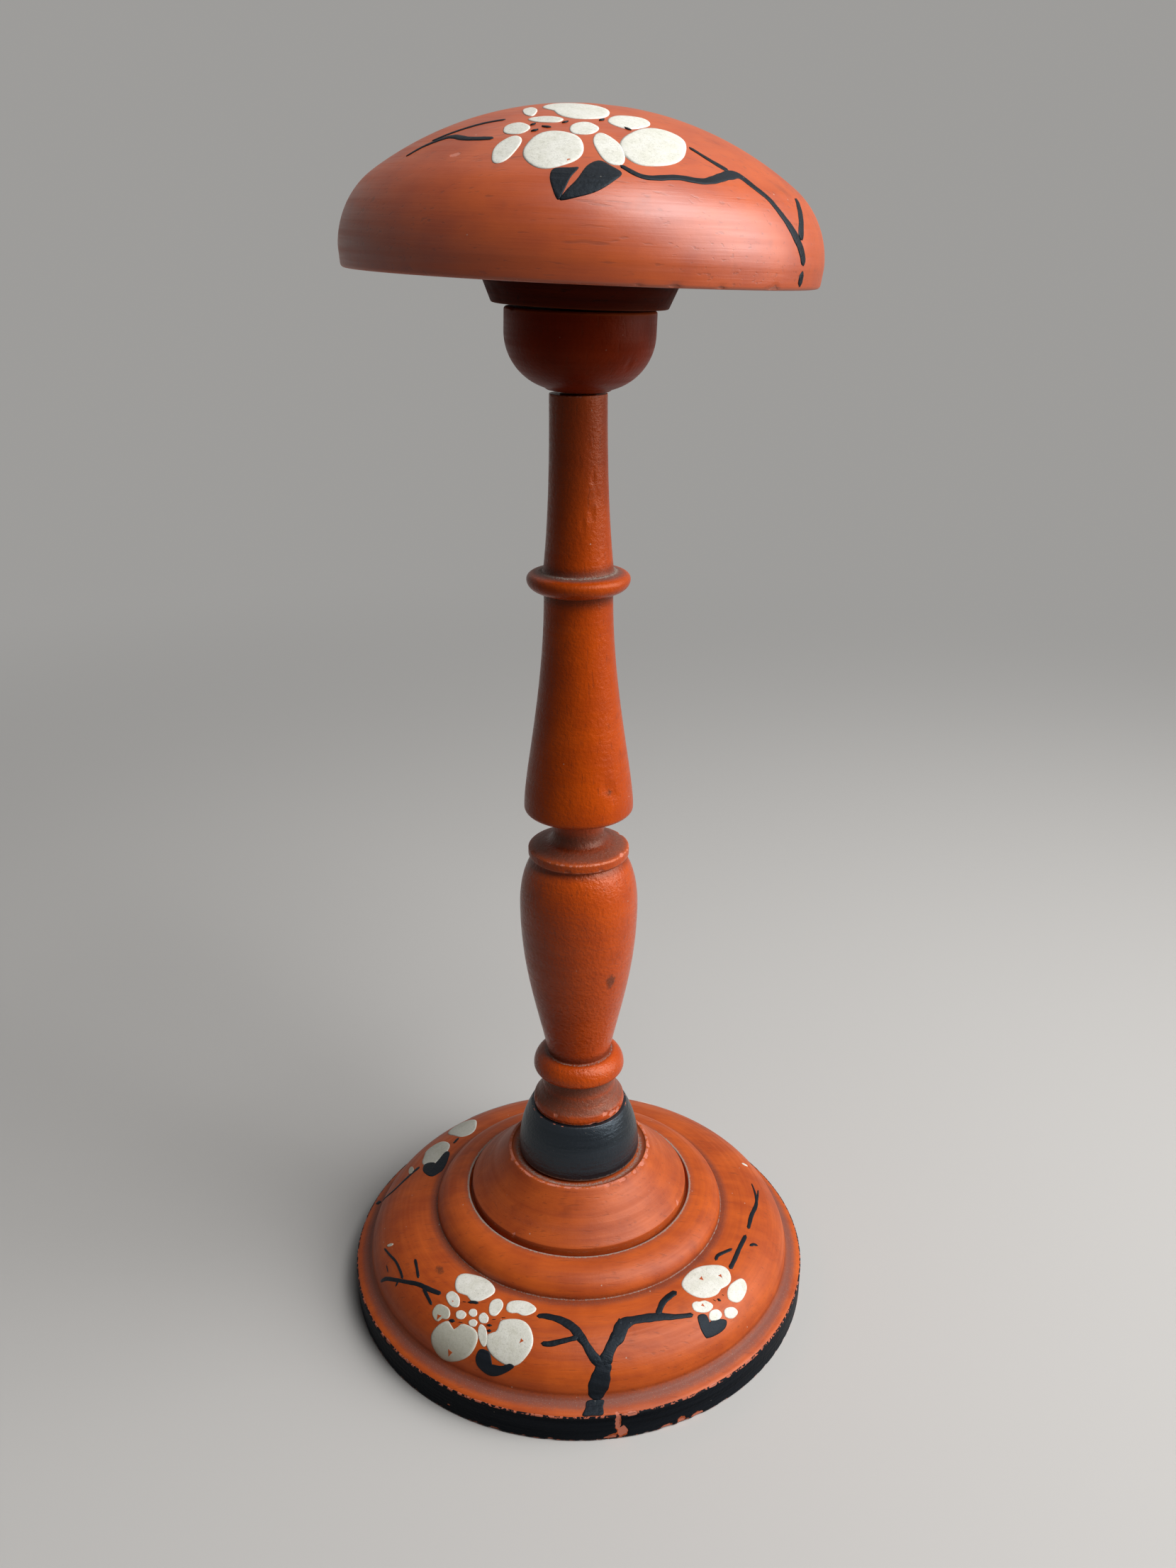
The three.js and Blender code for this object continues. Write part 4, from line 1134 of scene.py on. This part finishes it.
lower_turning = Turning(
    [
        (0, stem_dowel_top),
        (BORE_RADIUS, stem_dowel_top),
        (BORE_RADIUS, lower_low.z),
        (disc_rim, lower_low.z),
        (LOWER_DISC_RADIUS, lower_low.z + LOWER_DISC_EDGE / 2),
        *sweep((disc_rim, disc_top), *saucer_handles, (SAUCER_NECK_RADIUS, bead_foot)),
        *arc(bead_flat, bead_middle, BEAD_CORNER_WIDTH, BEAD_CORNER_RISE, -1, 0),
        *arc(VASE_FOOT_RADIUS, bead_middle, BEAD_RADIUS - VASE_FOOT_RADIUS, BEAD_SHOULDER_RISE, 0, 1)[1:],
        *sweep(
            (VASE_FOOT_RADIUS, vase_foot),
            (VASE_FOOT_RADIUS + VASE_FOOT_FLARE, vase_foot + VASE_BELLY_RISE * VASE_FOOT_PULL),
            (VASE_BELLY_RADIUS, vase_belly - VASE_BELLY_RISE * VASE_BELLY_PULL),
            (VASE_BELLY_RADIUS, vase_belly),
        )[1:],
        *sweep(
            (VASE_BELLY_RADIUS, vase_belly),
            (VASE_BELLY_RADIUS, vase_belly + VASE_SHOULDER_RISE * VASE_ROUND_PULL),
            (VASE_SHOULDER_RADIUS + VASE_SHOULDER_FLARE, vase_top - VASE_SHOULDER_RISE * VASE_SHOULDER_PULL),
            (VASE_SHOULDER_RADIUS, vase_top),
        )[1:],
        (VASE_SHOULDER_RADIUS, upper_disc_bottom),
        (UPPER_DISC_RADIUS - UPPER_DISC_CORNER, upper_disc_bottom),
        (UPPER_DISC_RADIUS, upper_disc_bottom + UPPER_DISC_CORNER),
        (UPPER_DISC_RADIUS, upper_disc_top - UPPER_DISC_CORNER),
        (UPPER_DISC_RADIUS - UPPER_DISC_CORNER, upper_disc_top),
        *arc(NECK_RADIUS + NECK_FILLET, neck_foot, NECK_FILLET, NECK_FILLET, -1, -2),
        (NECK_RADIUS, lower_high.z),
        (NECK_HOLE, lower_high.z),
        (NECK_HOLE, neck_dowel_low - DOWEL_END_GAP),
        (0, neck_dowel_low - DOWEL_END_GAP),
    ],
    seed=8,
    wander=0.07,
)
LOWER_DISC_CHIPS = [(36, 2.2, 1.2, 0.3), (-30, 1.6, 1, 0.25), (-75, 2.2, 1.2, 0.3), (-160, 2.6, 1.4, 0.35)]
UPPER_DISC_UNDER_CHIPS = [(-12, 1.8, 1.2, 0.3), (26, 1.4, 1, 0.25)]
UPPER_DISC_CHIPS = [(60, 2.4, 1.2, 0.3), (-64, 2, 1, 0.25), (120, 2.6, 1.4, 0.35)]
lower_piece = lower_turning.build(
    "lower_stem_turning",
    STEM_SIDES,
    dust=[(VASE_FOOT_RADIUS + 0.4, vase_foot, 0.45, 0.64)],
    film=[
        (disc_rim - 1, disc_top + 0.8, 1.6, 1.0),
        (9.9, disc_top + 2.7, 2, 1.0),
        (9, disc_top + 6, 2.4, 1.0),
        (UPPER_DISC_RADIUS - 2.6, upper_disc_top + 0.4, 2.8, 1.0),
        (NECK_RADIUS, neck_foot, 2.6, 0.8),
    ],
    nicks=[
        (48, LOWER_DISC_RADIUS, lower_low.z + 1.6, 3, 1.8, 0.45),
        (60, LOWER_DISC_RADIUS, lower_low.z + 1, 2.6, 1.8, 0.4),
        (20, LOWER_DISC_RADIUS, lower_low.z + 0.4, 2, 1.4, 0.3),
        *round_edge(LOWER_DISC_RADIUS, disc_top, LOWER_DISC_CHIPS),
        *round_edge(UPPER_DISC_RADIUS, upper_disc_bottom + UPPER_DISC_CORNER, UPPER_DISC_UNDER_CHIPS),
        *round_edge(UPPER_DISC_RADIUS, upper_disc_top, UPPER_DISC_CHIPS),
    ],
    stains=[(36, 13.4, 98, 4, 6, 0.9), (140, 14.5, 112, 9, 8, 0.5), (-120, 13, 96, 7, 10, 0.5)],
)
lower_piece.data.materials.append(
    lacquer(
        "lower_stem_lacquer", (0.54, 0.071, 0.001), (0.36, 0.039, 0.001), streaks=0.14, hold=0.42,
        grain=(1.6, 1.6, 0.22), sheen=0.2, gloss=0.5, dusty=(0.16, 0.05, 0.03), peel=4,
        shine=(1, 0.66, 0.52),
    )
)
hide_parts("lower_stem")
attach(lower_piece, "stem")

# Upper stem
# One turning: a flat-bottomed bulb, a long taper, a ring and a plain top that holds the cup by a
# tenon. Knocks have dented it, and its lacquer is painted darker towards the top, under the cap: partly aged
# lacquer, partly painted shade from the cap.
BULB_RADIUS = 13.45
BULB_CORNER_WIDTH = 2.05
BULB_CORNER_RISE = 1.45
TAPER_LENGTH = 53.7
TAPER_LOW_PULL = 0.16
TAPER_HIGH_PULL = 0.44
RING_ROOT_RADIUS = 8.1
RING_RADIUS = 12.1
RING_UNDER_RISE = 3
RING_CORNER_WIDTH = 1.6
RING_CORNER_RISE = 1.5
RING_TOP_SLOPE = 0.5
TOP_ROOT_RADIUS = 8.2
TOP_ROOT_TAPER = 0.85
TOP_RADIUS = 6.5
TOP_LOW_PULL = 0.2
TOP_HIGH_PULL = 0.52
CUP_TENON_RADIUS = 4
CUP_TENON_LENGTH = 4
upper_low, upper_high = (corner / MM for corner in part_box("upper_stem"))
bulb_waist = upper_low.z + BULB_CORNER_RISE
ring_bottom = bulb_waist + TAPER_LENGTH
ring_middle = ring_bottom + RING_UNDER_RISE
ring_top = ring_middle + RING_CORNER_RISE + RING_TOP_SLOPE
stem_top = upper_high.z - CUP_TENON_LENGTH
top_length = stem_top - ring_top
upper_turning = Turning(
    [
        (0, neck_dowel_high + DOWEL_END_GAP),
        (NECK_HOLE, neck_dowel_high + DOWEL_END_GAP),
        (NECK_HOLE, upper_low.z),
        *arc(BULB_RADIUS - BULB_CORNER_WIDTH, bulb_waist, BULB_CORNER_WIDTH, BULB_CORNER_RISE, -1, 0),
        *sweep(
            (BULB_RADIUS, bulb_waist),
            (BULB_RADIUS, bulb_waist + TAPER_LENGTH * TAPER_LOW_PULL),
            (RING_ROOT_RADIUS, ring_bottom - TAPER_LENGTH * TAPER_HIGH_PULL),
            (RING_ROOT_RADIUS, ring_bottom),
        )[1:],
        *arc(RING_ROOT_RADIUS, ring_middle, RING_RADIUS - RING_ROOT_RADIUS, RING_UNDER_RISE, -1, 0)[1:],
        *arc(RING_RADIUS - RING_CORNER_WIDTH, ring_middle, RING_CORNER_WIDTH, RING_CORNER_RISE, 0, 1)[1:],
        *sweep(
            (TOP_ROOT_RADIUS, ring_top),
            (TOP_ROOT_RADIUS - TOP_ROOT_TAPER, ring_top + top_length * TOP_LOW_PULL),
            (TOP_RADIUS, stem_top - top_length * TOP_HIGH_PULL),
            (TOP_RADIUS, stem_top),
        ),
        (CUP_TENON_RADIUS, stem_top),
        (CUP_TENON_RADIUS, stem_top + CUP_TENON_LENGTH),
        (0, stem_top + CUP_TENON_LENGTH),
    ],
    seed=9,
    wander=0.08,
)
upper_piece = upper_turning.build(
    "upper_stem_turning",
    STEM_SIDES,
    dust=[(TOP_ROOT_RADIUS + 0.7, ring_top - 0.1, 1, 0.75)],
    film=[(TOP_ROOT_RADIUS + 1, ring_top - 0.2, 1.5, 1.0)],
    nicks=[(100, RING_RADIUS, ring_middle, 2, 1.6, 0.25)],
    dents=[
        (34, 12.8, bulb_waist + 8.6, 4.4, 3, 0.35),
        (42, 12.8, bulb_waist + 6.2, 2.4, 2.6, 0.3),
        (26, 7.6, ring_top + 14, 2.4, 3.4, 0.25),
        (38, 7.4, ring_top + 17, 2.2, 2.4, 0.25),
        (30, 7.2, ring_top + 21, 1.8, 2.8, 0.2),
        (8, 7.4, ring_top + 12, 1.6, 2.2, 0.18),
        (-150, 10.5, bulb_waist + 24, 2.8, 3.6, 0.3),
    ],
    stains=[
        (36, 12.8, bulb_waist + 8, 4, 3, 0.7),
        (30, 7.4, ring_top + 17, 4, 12, 0.45),
        (-130, 9.6, bulb_waist + 30, 6, 9, 0.5),
    ],
    marks={"shade": np.clip((upper_turning.height - ring_top) / (stem_top - ring_top), -0.2, 1)},
)
upper_finish = lacquer(
    "upper_stem_lacquer", (0.53, 0.069, 0.001), (0.35, 0.038, 0.001), streaks=0.14,
    grain=(1.6, 1.6, 0.18), sheen=0.24, gloss=0.36, dusty=(0.17, 0.085, 0.068), peel=2.6,
    shine=(1, 0.58, 0.4),
)
tree = upper_finish.node_tree
# The top is painted darker: partly aged lacquer, partly painted shade from the cap.
recolour(upper_finish, ramp(mark(tree, "shade"), -0.05, 0.9, 0.6), (0.13, 0.02, 0.006))
upper_piece.data.materials.append(upper_finish)
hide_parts("upper_stem")
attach(upper_piece, "stem")

# Cup
# A bowl glued on the stem's tenon, a little askew, with a wide socket for the cap's dowel.
# Its lacquer is painted dark red-brown and glossy: partly darker lacquer, partly painted shade from the cap.
CUP_RADIUS = 16.5
CUP_HEIGHT = 17
CUP_BOWL_HEIGHT = 12
CUP_BOWL_CENTRE = 4.1
CUP_FOOT_RADIUS = 6.9
CUP_CORNER = 0.4
CUP_LEAN = 1.8
CUP_PLACE = 0.240517
CUP_TENON_HOLE = 4.276
CUP_TENON_GAP = 0.5
CUP_SOCKET = 5.595
CUP_SOCKET_DEPTH = 9.5
bowl_width = CUP_RADIUS - CUP_BOWL_CENTRE
foot_quarter = -math.acos((CUP_FOOT_RADIUS - CUP_BOWL_CENTRE) / bowl_width) * 2 / math.pi
cup_frame = Matrix.Translation((0, 0, CUP_PLACE)) @ Matrix.Rotation(math.radians(CUP_LEAN), 4, "Y")
cup_turning = Turning(
    [
        (0, CUP_TENON_LENGTH + CUP_TENON_GAP),
        (CUP_TENON_HOLE, CUP_TENON_LENGTH + CUP_TENON_GAP),
        (CUP_TENON_HOLE, 0),
        (CUP_FOOT_RADIUS, 0),
        *arc(CUP_BOWL_CENTRE, CUP_BOWL_HEIGHT, bowl_width, CUP_BOWL_HEIGHT, foot_quarter, 0)[1:],
        (CUP_RADIUS, CUP_HEIGHT - CUP_CORNER),
        (CUP_RADIUS - CUP_CORNER, CUP_HEIGHT),
        (CUP_SOCKET, CUP_HEIGHT),
        (CUP_SOCKET, CUP_HEIGHT - CUP_SOCKET_DEPTH),
        (0, CUP_HEIGHT - CUP_SOCKET_DEPTH),
    ],
    seed=10,
    wander=0.06,
)
cup_piece = cup_turning.build(
    "cup_turning",
    STEM_SIDES,
    film=[(CUP_RADIUS - 5, CUP_HEIGHT, 5, 0.4)],
    dents=[(44, 15, 6.5, 1.8, 3, 0.2), (-60, CUP_RADIUS, CUP_HEIGHT, 2, 1, 0.2)],
    place=cup_frame,
)
# The dark colours hold painted shade from the cap as well as darker lacquer.
cup_piece.data.materials.append(
    lacquer(
        "cup_lacquer_and_shade", (0.22, 0.02, 0.001), (0.12, 0.009, 0.001), streaks=0.2, hold=0.7,
        grain=(1.1, 1.1, 0.14), sheen=0.34, gloss=0.16, flecked=0.1, peel=1.2, shine=(1, 0.5, 0.35),
    )
)
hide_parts("cup")
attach(cup_piece, "stem")

# Cap dowel and boss
# The peg that stands the cap in the cup, and a low dark brown cone glued under the middle of the
# cap, narrow end down. The cap, its boss and its dowel lean together, a little more than the cup.
CAP_DOWEL_RADIUS = 5
CAP_DOWEL_BOTTOM = -9
CAP_DOWEL_TOP = 14.6
BOSS_BOTTOM_RADIUS = 19
BOSS_TOP_RADIUS = 21.4
BOSS_HEIGHT = 5.6
cap_turn = next(joint for joint in frame["joints"] if joint["name"] == "cap_turn")
cap_lean = math.atan2(cap_turn["axis"][0], cap_turn["axis"][2])
cap_frame = Matrix.Translation(cap_turn["pos_m"]) @ Matrix.Rotation(cap_lean, 4, "Y")
peg = dowel_turning("cap_dowel_turning", CAP_DOWEL_RADIUS, CAP_DOWEL_BOTTOM, CAP_DOWEL_TOP, 23, cap_frame)
peg.data.materials.append(peg_wood)
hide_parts("cap_dowel")
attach(peg, "cap_dowel")
boss_turning = Turning(
    [
        (BORE_RADIUS, 0),
        (BOSS_BOTTOM_RADIUS, 0),
        (BOSS_TOP_RADIUS, BOSS_HEIGHT),
        (BORE_RADIUS, BOSS_HEIGHT),
        (BORE_RADIUS, 0),
    ],
    seed=13,
    wear=0.2,
)


def dark_stain_and_shade(name):
    """Dark red-brown stain rubbed into the wood, dull and a little patchy, made darker still as painted
    shade under the cap.
    """
    material, tree, shader = new_material(name)
    strokes, wood = use(tree, brush_marks, Stroke=16.0), use(tree, wood_pores, Grain=(0.14, 1.5, 1.5))
    worn = use(tree, edge_wear, Hold=0.6)
    # Very dark browns: stained wood, made darker as painted shade under the cap.
    colour = blend(strokes["Tone"], (0.05, 0.006, 0.002), (0.085, 0.01, 0.002))
    colour = blend(times(wood["Pore"], 0.7), colour, (0.015, 0.005, 0.003))
    colour = blend(times(worn["Rub"], 0.35), colour, (0.2, 0.045, 0.014))
    rough = plus(times(wood["Figure"], 0.15), 0.45)
    coat(tree, shader, colour, rough, strokes["Ridge"], 0.4, 0.0001)
    shader.inputs["Specular IOR Level"].default_value = 0.04
    return material


boss_piece = boss_turning.build("cap_boss_turning", WIDE_SIDES, place=cap_frame)
boss_piece.data.materials.append(dark_stain_and_shade("boss_stain_and_shade"))
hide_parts("cap_boss")
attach(boss_piece, "cap")

# Cap
# A mushroom-shaped turning that holds the crown of a hat: flat below, with a short belly, a round
# shoulder and a shallow dome. Its lacquer is the brightest, smooth and softly glossy, and its underside is
# darkened as painted shade under the cap.
CAP_RADIUS = 50.6
CAP_RIM_RADIUS = 50.2
CAP_RIM_CORNER = 0.5
CAP_BELLY_RISE = 4.2
CAP_SHOULDER_ARC = 18
CAP_HEIGHT = 32.8
CAP_BORE_TOP = 15.1
CAP_UNDER_RADIUS = 49
belly = BOSS_HEIGHT + CAP_BELLY_RISE
shoulder_centre = CAP_RADIUS - CAP_SHOULDER_ARC
dome_rise = CAP_HEIGHT - CAP_BELLY_RISE
dome_reach = shoulder_centre**2 + dome_rise**2 - CAP_SHOULDER_ARC**2
dome_radius = dome_reach / (2 * (dome_rise - CAP_SHOULDER_ARC))
dome_centre = BOSS_HEIGHT + CAP_HEIGHT - dome_radius
meeting = math.atan2(belly - dome_centre, shoulder_centre) * 2 / math.pi
cap_turning = Turning(
    [
        (0, CAP_BORE_TOP),
        (BORE_RADIUS, CAP_BORE_TOP),
        (BORE_RADIUS, BOSS_HEIGHT),
        (CAP_RIM_RADIUS - CAP_RIM_CORNER, BOSS_HEIGHT),
        (CAP_RIM_RADIUS, BOSS_HEIGHT + CAP_RIM_CORNER),
        *arc(shoulder_centre, belly, CAP_SHOULDER_ARC, CAP_SHOULDER_ARC, 0, meeting),
        *arc(0, dome_centre, dome_radius, dome_radius, meeting, 1, steps=48)[1:],
    ],
    seed=14,
    wear=0.25,
    wander=0.1,
)
CAP_RIM_CHIPS = [
    (20, 2.4, 1.2, 0.3), (31, 1.6, 1, 0.25), (47, 2.8, 1.4, 0.3),
    (12, 1.4, 0.9, 0.2), (-100, 2.4, 1.2, 0.25), (150, 3, 1.4, 0.3),
]
shaded_under_cap = cap_turning.along < cap_turning.along_at(CAP_UNDER_RADIUS, BOSS_HEIGHT)
cap_piece = cap_turning.build(
    "cap_turning",
    BASE_SIDES,
    nicks=[*round_edge(CAP_RIM_RADIUS, BOSS_HEIGHT, CAP_RIM_CHIPS), (-36, 41, 28, 2.4, 2, 0.05)],
    stains=[
        (26, 50.5, 9, 22, 4, 0.35),
        (44, 50.4, 8, 12, 3, 0.4),
        (-46, 49, 19, 12, 8, 0.22),
        (-22, 50.2, 12, 12, 6, 0.18),
        (150, 47, 22, 16, 7, 0.5),
    ],
    marks={"under": np.where(shaded_under_cap, 1.0, 0.0)},
    place=cap_frame,
)
cap_finish = lacquer(
    "cap_lacquer", (0.56, 0.088, 0.004), (0.37, 0.045, 0.002), streaks=0.16, grain=(0.09, 1.2, 1.2),
    sheen=0.34, gloss=1, peel=0.2, shine=(1, 0.94, 0.96),
)
tree = cap_finish.node_tree
# The underside is painted a deep red-brown: painted shade under the cap.
recolour(cap_finish, times(mark(tree, "under"), 0.8), (0.16, 0.026, 0.008))
cap_piece.data.materials.append(cap_finish)
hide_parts("cap")
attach(cap_piece, "cap")

# Blossom spray on the cap
# A large double blossom in the same paints, in front of the crown, with a leaf under it and twigs
# to both sides. The twig on the right runs down over the rim.
CROWN_SPREAD = 1.3


def on_crown(points):
    """Places on the cap of (mm right, mm back) from its top, measured over the surface."""
    places = []
    for right, back, *rest in points:
        along = cap_turning.length - math.hypot(right, back)
        places.append((math.atan2(right, -back), along, *rest))
    return places


CAP_PETALS = [
    ((-15, -37.3, 4.9, 2.4, 69), 0.05),
    ((-6, -39, 6.7, 5.7, 80), 0.05),
    ((4.5, -38.4, 5.8, 2.6, -71), 0.0),
    ((13.2, -33.7, 9.2, 5.8, 66), 0.1),
    ((-13.3, -29.2, 3.1, 2.5, -67), 0.1),
    ((-2.2, -18.7, 8.2, 5.8, -57, (200, 0.2, 30)), 0.0),
    ((-11, -18.8, 4.2, 1.4, -85), 0.1),
    ((8.2, -24.6, 4.9, 3.5, 51), 0.0),
    ((-0.4, -31, 3.1, 2.7, 67), 0.0),
    ((-7.7, -26.1, 3.5, 1.8, -18), 0.1),
    ((12, 30, 6.2, 4.6, 40, (220, 0.3, 20)), 0.1),
    ((2.5, 34, 5.2, 3.8, 100), 0.0),
    ((15, 20.5, 4.6, 3.4, -20), 0.2),
    ((4.6, 22.6, 3.8, 3, 140), 0.0),
    ((9, 25.6, 1.2, 1), 0.0),
]
cap_white = Paint(cap_turning, seed=15)
for shape, shade in CAP_PETALS:
    cap_white.dab(on_crown(petal(*shape)), shade=shade)
cap_petals = cap_white.build("cap_petals", cream, cap_frame)
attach(cap_petals, "cap")

CAP_BRANCHES = {
    "right limb": [
        (6.8, -43.6, 0.4), (11.6, -45.6, 0.5), (17.9, -43, 0.6), (23.5, -40.8, 0.65), (27.8, -35.4, 0.9),
        (30.2, -32.6, 0.9), (34, -33.4, 0.65), (37.6, -33.4, 0.6), (40.8, -33.8, 0.6), (46.6, -33.4, 0.9),
        (50.7, -33, 0.9), (53, -33.5, 0.8),
    ],
    "limb over the rim": [(53.8, -34, 0.75), (55, -34.9, 0.8), (56.2, -35.6, 0.8)],
    "second limb": [(20, -30, 0.35), (24, -32, 0.45), (28.2, -33, 0.7)],
    "stub": [(44.6, -21.5, 0.6), (46.4, -26, 0.75), (48.4, -32, 0.8)],
    "left limb": [
        (-17.6, -32, 0.5), (-22.8, -28.7, 0.6), (-26.6, -23.9, 0.6), (-31.9, -22.7, 0.45),
        (-36, -23.4, 0.3),
    ],
    "left twig": [(-15.6, -22.6, 0.3), (-20.3, -21.7, 0.4), (-26, -21.4, 0.4), (-30.5, -21.4, 0.35)],
    "behind limb": [
        (15, 34, 0.5), (19, 38, 0.7), (21, 44, 0.7), (17, 49, 0.8), (15, 55, 0.8), (13.6, 61, 0.8),
    ],
    "behind twig": [(20.6, 42, 0.6), (27, 40.4, 0.5), (33, 42, 0.4)],
    "behind left twig": [(0, 37.6, 0.4), (-6, 41, 0.5), (-13, 40, 0.5), (-19, 43, 0.35)],
}
CAP_LEAVES = [
    [
        (-5.6, -45.6), (-2.6, -45.4), (-1, -45.4), (-2.4, -48), (-3.6, -51), (-4.8, -52.9), (-6, -50.2),
        (-6.4, -47.6),
    ],
    [
        (0.6, -44.6), (2.8, -42.8), (5, -44), (7.2, -45.8), (5.6, -48.4), (2.8, -50.9), (-0.6, -52.3),
        (-4.4, -53), (-3.4, -51.2), (-1.2, -48.4),
    ],
    [(17, 27), (20.4, 26.4), (23.6, 28.4), (22.6, 31.6), (19, 32.6), (16.6, 30)],
]
CAP_STAMENS = [
    [(-10.4, -31.8, 0.45), (-9, -31.2, 0.45)],
    [(-8.4, -29.8, 0.35), (-6.6, -30.6, 0.4)],
    [(-10.6, -28.8, 0.4), (-9.6, -28, 0.4)],
    [(-4.6, -28.6, 0.35), (-3.4, -27.8, 0.35)],
    [(2.4, -26.6, 0.4), (3.4, -25.4, 0.35)],
    [(7.2, -28.6, 0.35), (8.6, -29.4, 0.35)],
    [(8, 28.4, 0.35), (7.2, 27.4, 0.35)],
    [(11.4, 24.6, 0.35), (10.6, 23.8, 0.35)],
]
cap_black = Paint(cap_turning, seed=16)
for path in CAP_BRANCHES.values():
    cap_black.stroke(on_crown([(right, back, half * CROWN_SPREAD) for right, back, half in path]))
for outline in CAP_LEAVES:
    cap_black.dab(on_crown(outline))
for path in CAP_STAMENS:
    cap_black.stroke(on_crown(path), thick=STAMEN_THICK)
cap_branches = cap_black.build("cap_branches", ink, cap_frame)
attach(cap_branches, "cap")

# Floor and light
# A plain pale floor runs out into an even grey surround that looks the same from every side. A wide
# window stands on the right in two halves, with a lamp above it, so the left sides fall into shade.
FLOOR_HALF = 8
FADE_START = 0.15
FADE_END = 0.85
SURROUND = (0.34, 0.333, 0.323)
PAPER_PALE = (0.56, 0.545, 0.525)
PAPER_BOUNCE = (0.26, 0.2, 0.14)
ROOM_LIGHT = (0.036, 0.037, 0.038)
floor_mesh = bpy.data.meshes.new("floor")
floor_corners = [(x * FLOOR_HALF, y * FLOOR_HALF, 0) for x, y in ((-1, -1), (1, -1), (1, 1), (-1, 1))]
floor_mesh.from_pydata(floor_corners, [], [(0, 1, 2, 3)])
floor = bpy.data.objects.new("floor", floor_mesh)
bpy.context.scene.collection.objects.link(floor)


def pale_to_the_eye(tree):
    """One for rays that see the room, straight, in gloss or through glass, and nought for its light."""
    rays = tree.nodes.new("ShaderNodeLightPath").outputs
    seen = larger(rays["Is Camera Ray"], rays["Is Glossy Ray"])
    return larger(seen, rays["Is Transmission Ray"])


paper, tree, shader = new_material("paper")
seen = pale_to_the_eye(tree)
place = add(tree, "TexCoord").outputs["Object"]
reach = add(tree, "VectorMath", {0: place}, operation="LENGTH").outputs["Value"]
far = ramp(reach, FADE_START, FADE_END)
near_colour = blend(seen, PAPER_BOUNCE, PAPER_PALE)
tree.links.new(blend(far, near_colour, (0, 0, 0)), shader.inputs["Base Color"])
shader.inputs["Roughness"].default_value = 0.8
shader.inputs["Specular IOR Level"].default_value = 0
shader.inputs["Emission Color"].default_value = (*SURROUND, 1)
tree.links.new(times(far, seen), shader.inputs["Emission Strength"])
floor_mesh.materials.append(paper)


def softbox(name, place, aim, size, power):
    """A square soft lamp at a place, turned towards its aim."""
    light = bpy.data.lights.new(name, "AREA")
    light.shape = "SQUARE"
    light.size = size
    light.energy = power
    lamp = bpy.data.objects.new(name, light)
    bpy.context.scene.collection.objects.link(lamp)
    away = Vector(place) - Vector(aim)
    lamp.matrix_world = Matrix.Translation(place) @ away.to_track_quat("Z", "Y").to_matrix().to_4x4()


softbox("window_front", place=(0.8, -0.36, 0.78), aim=(0, 0, 0.15), size=0.9, power=9)
softbox("window_side", place=(1, -0.08, 0.55), aim=(0, 0, 0.15), size=0.9, power=7)
softbox("above", place=(0.4, -0.32, 1.12), aim=(0, 0, 0.14), size=0.6, power=6)
softbox("sky", place=(0.1, 0.55, 1.15), aim=(0, 0, 0.1), size=0.9, power=0.8)
world = bpy.data.worlds.new("room")
bpy.context.scene.world = world
world.use_nodes = True
tree = world.node_tree
background = tree.nodes["Background"]
seen = pale_to_the_eye(tree)
tree.links.new(blend(seen, ROOM_LIGHT, SURROUND), background.inputs["Color"])
bpy.context.scene.view_settings.view_transform = "Standard"
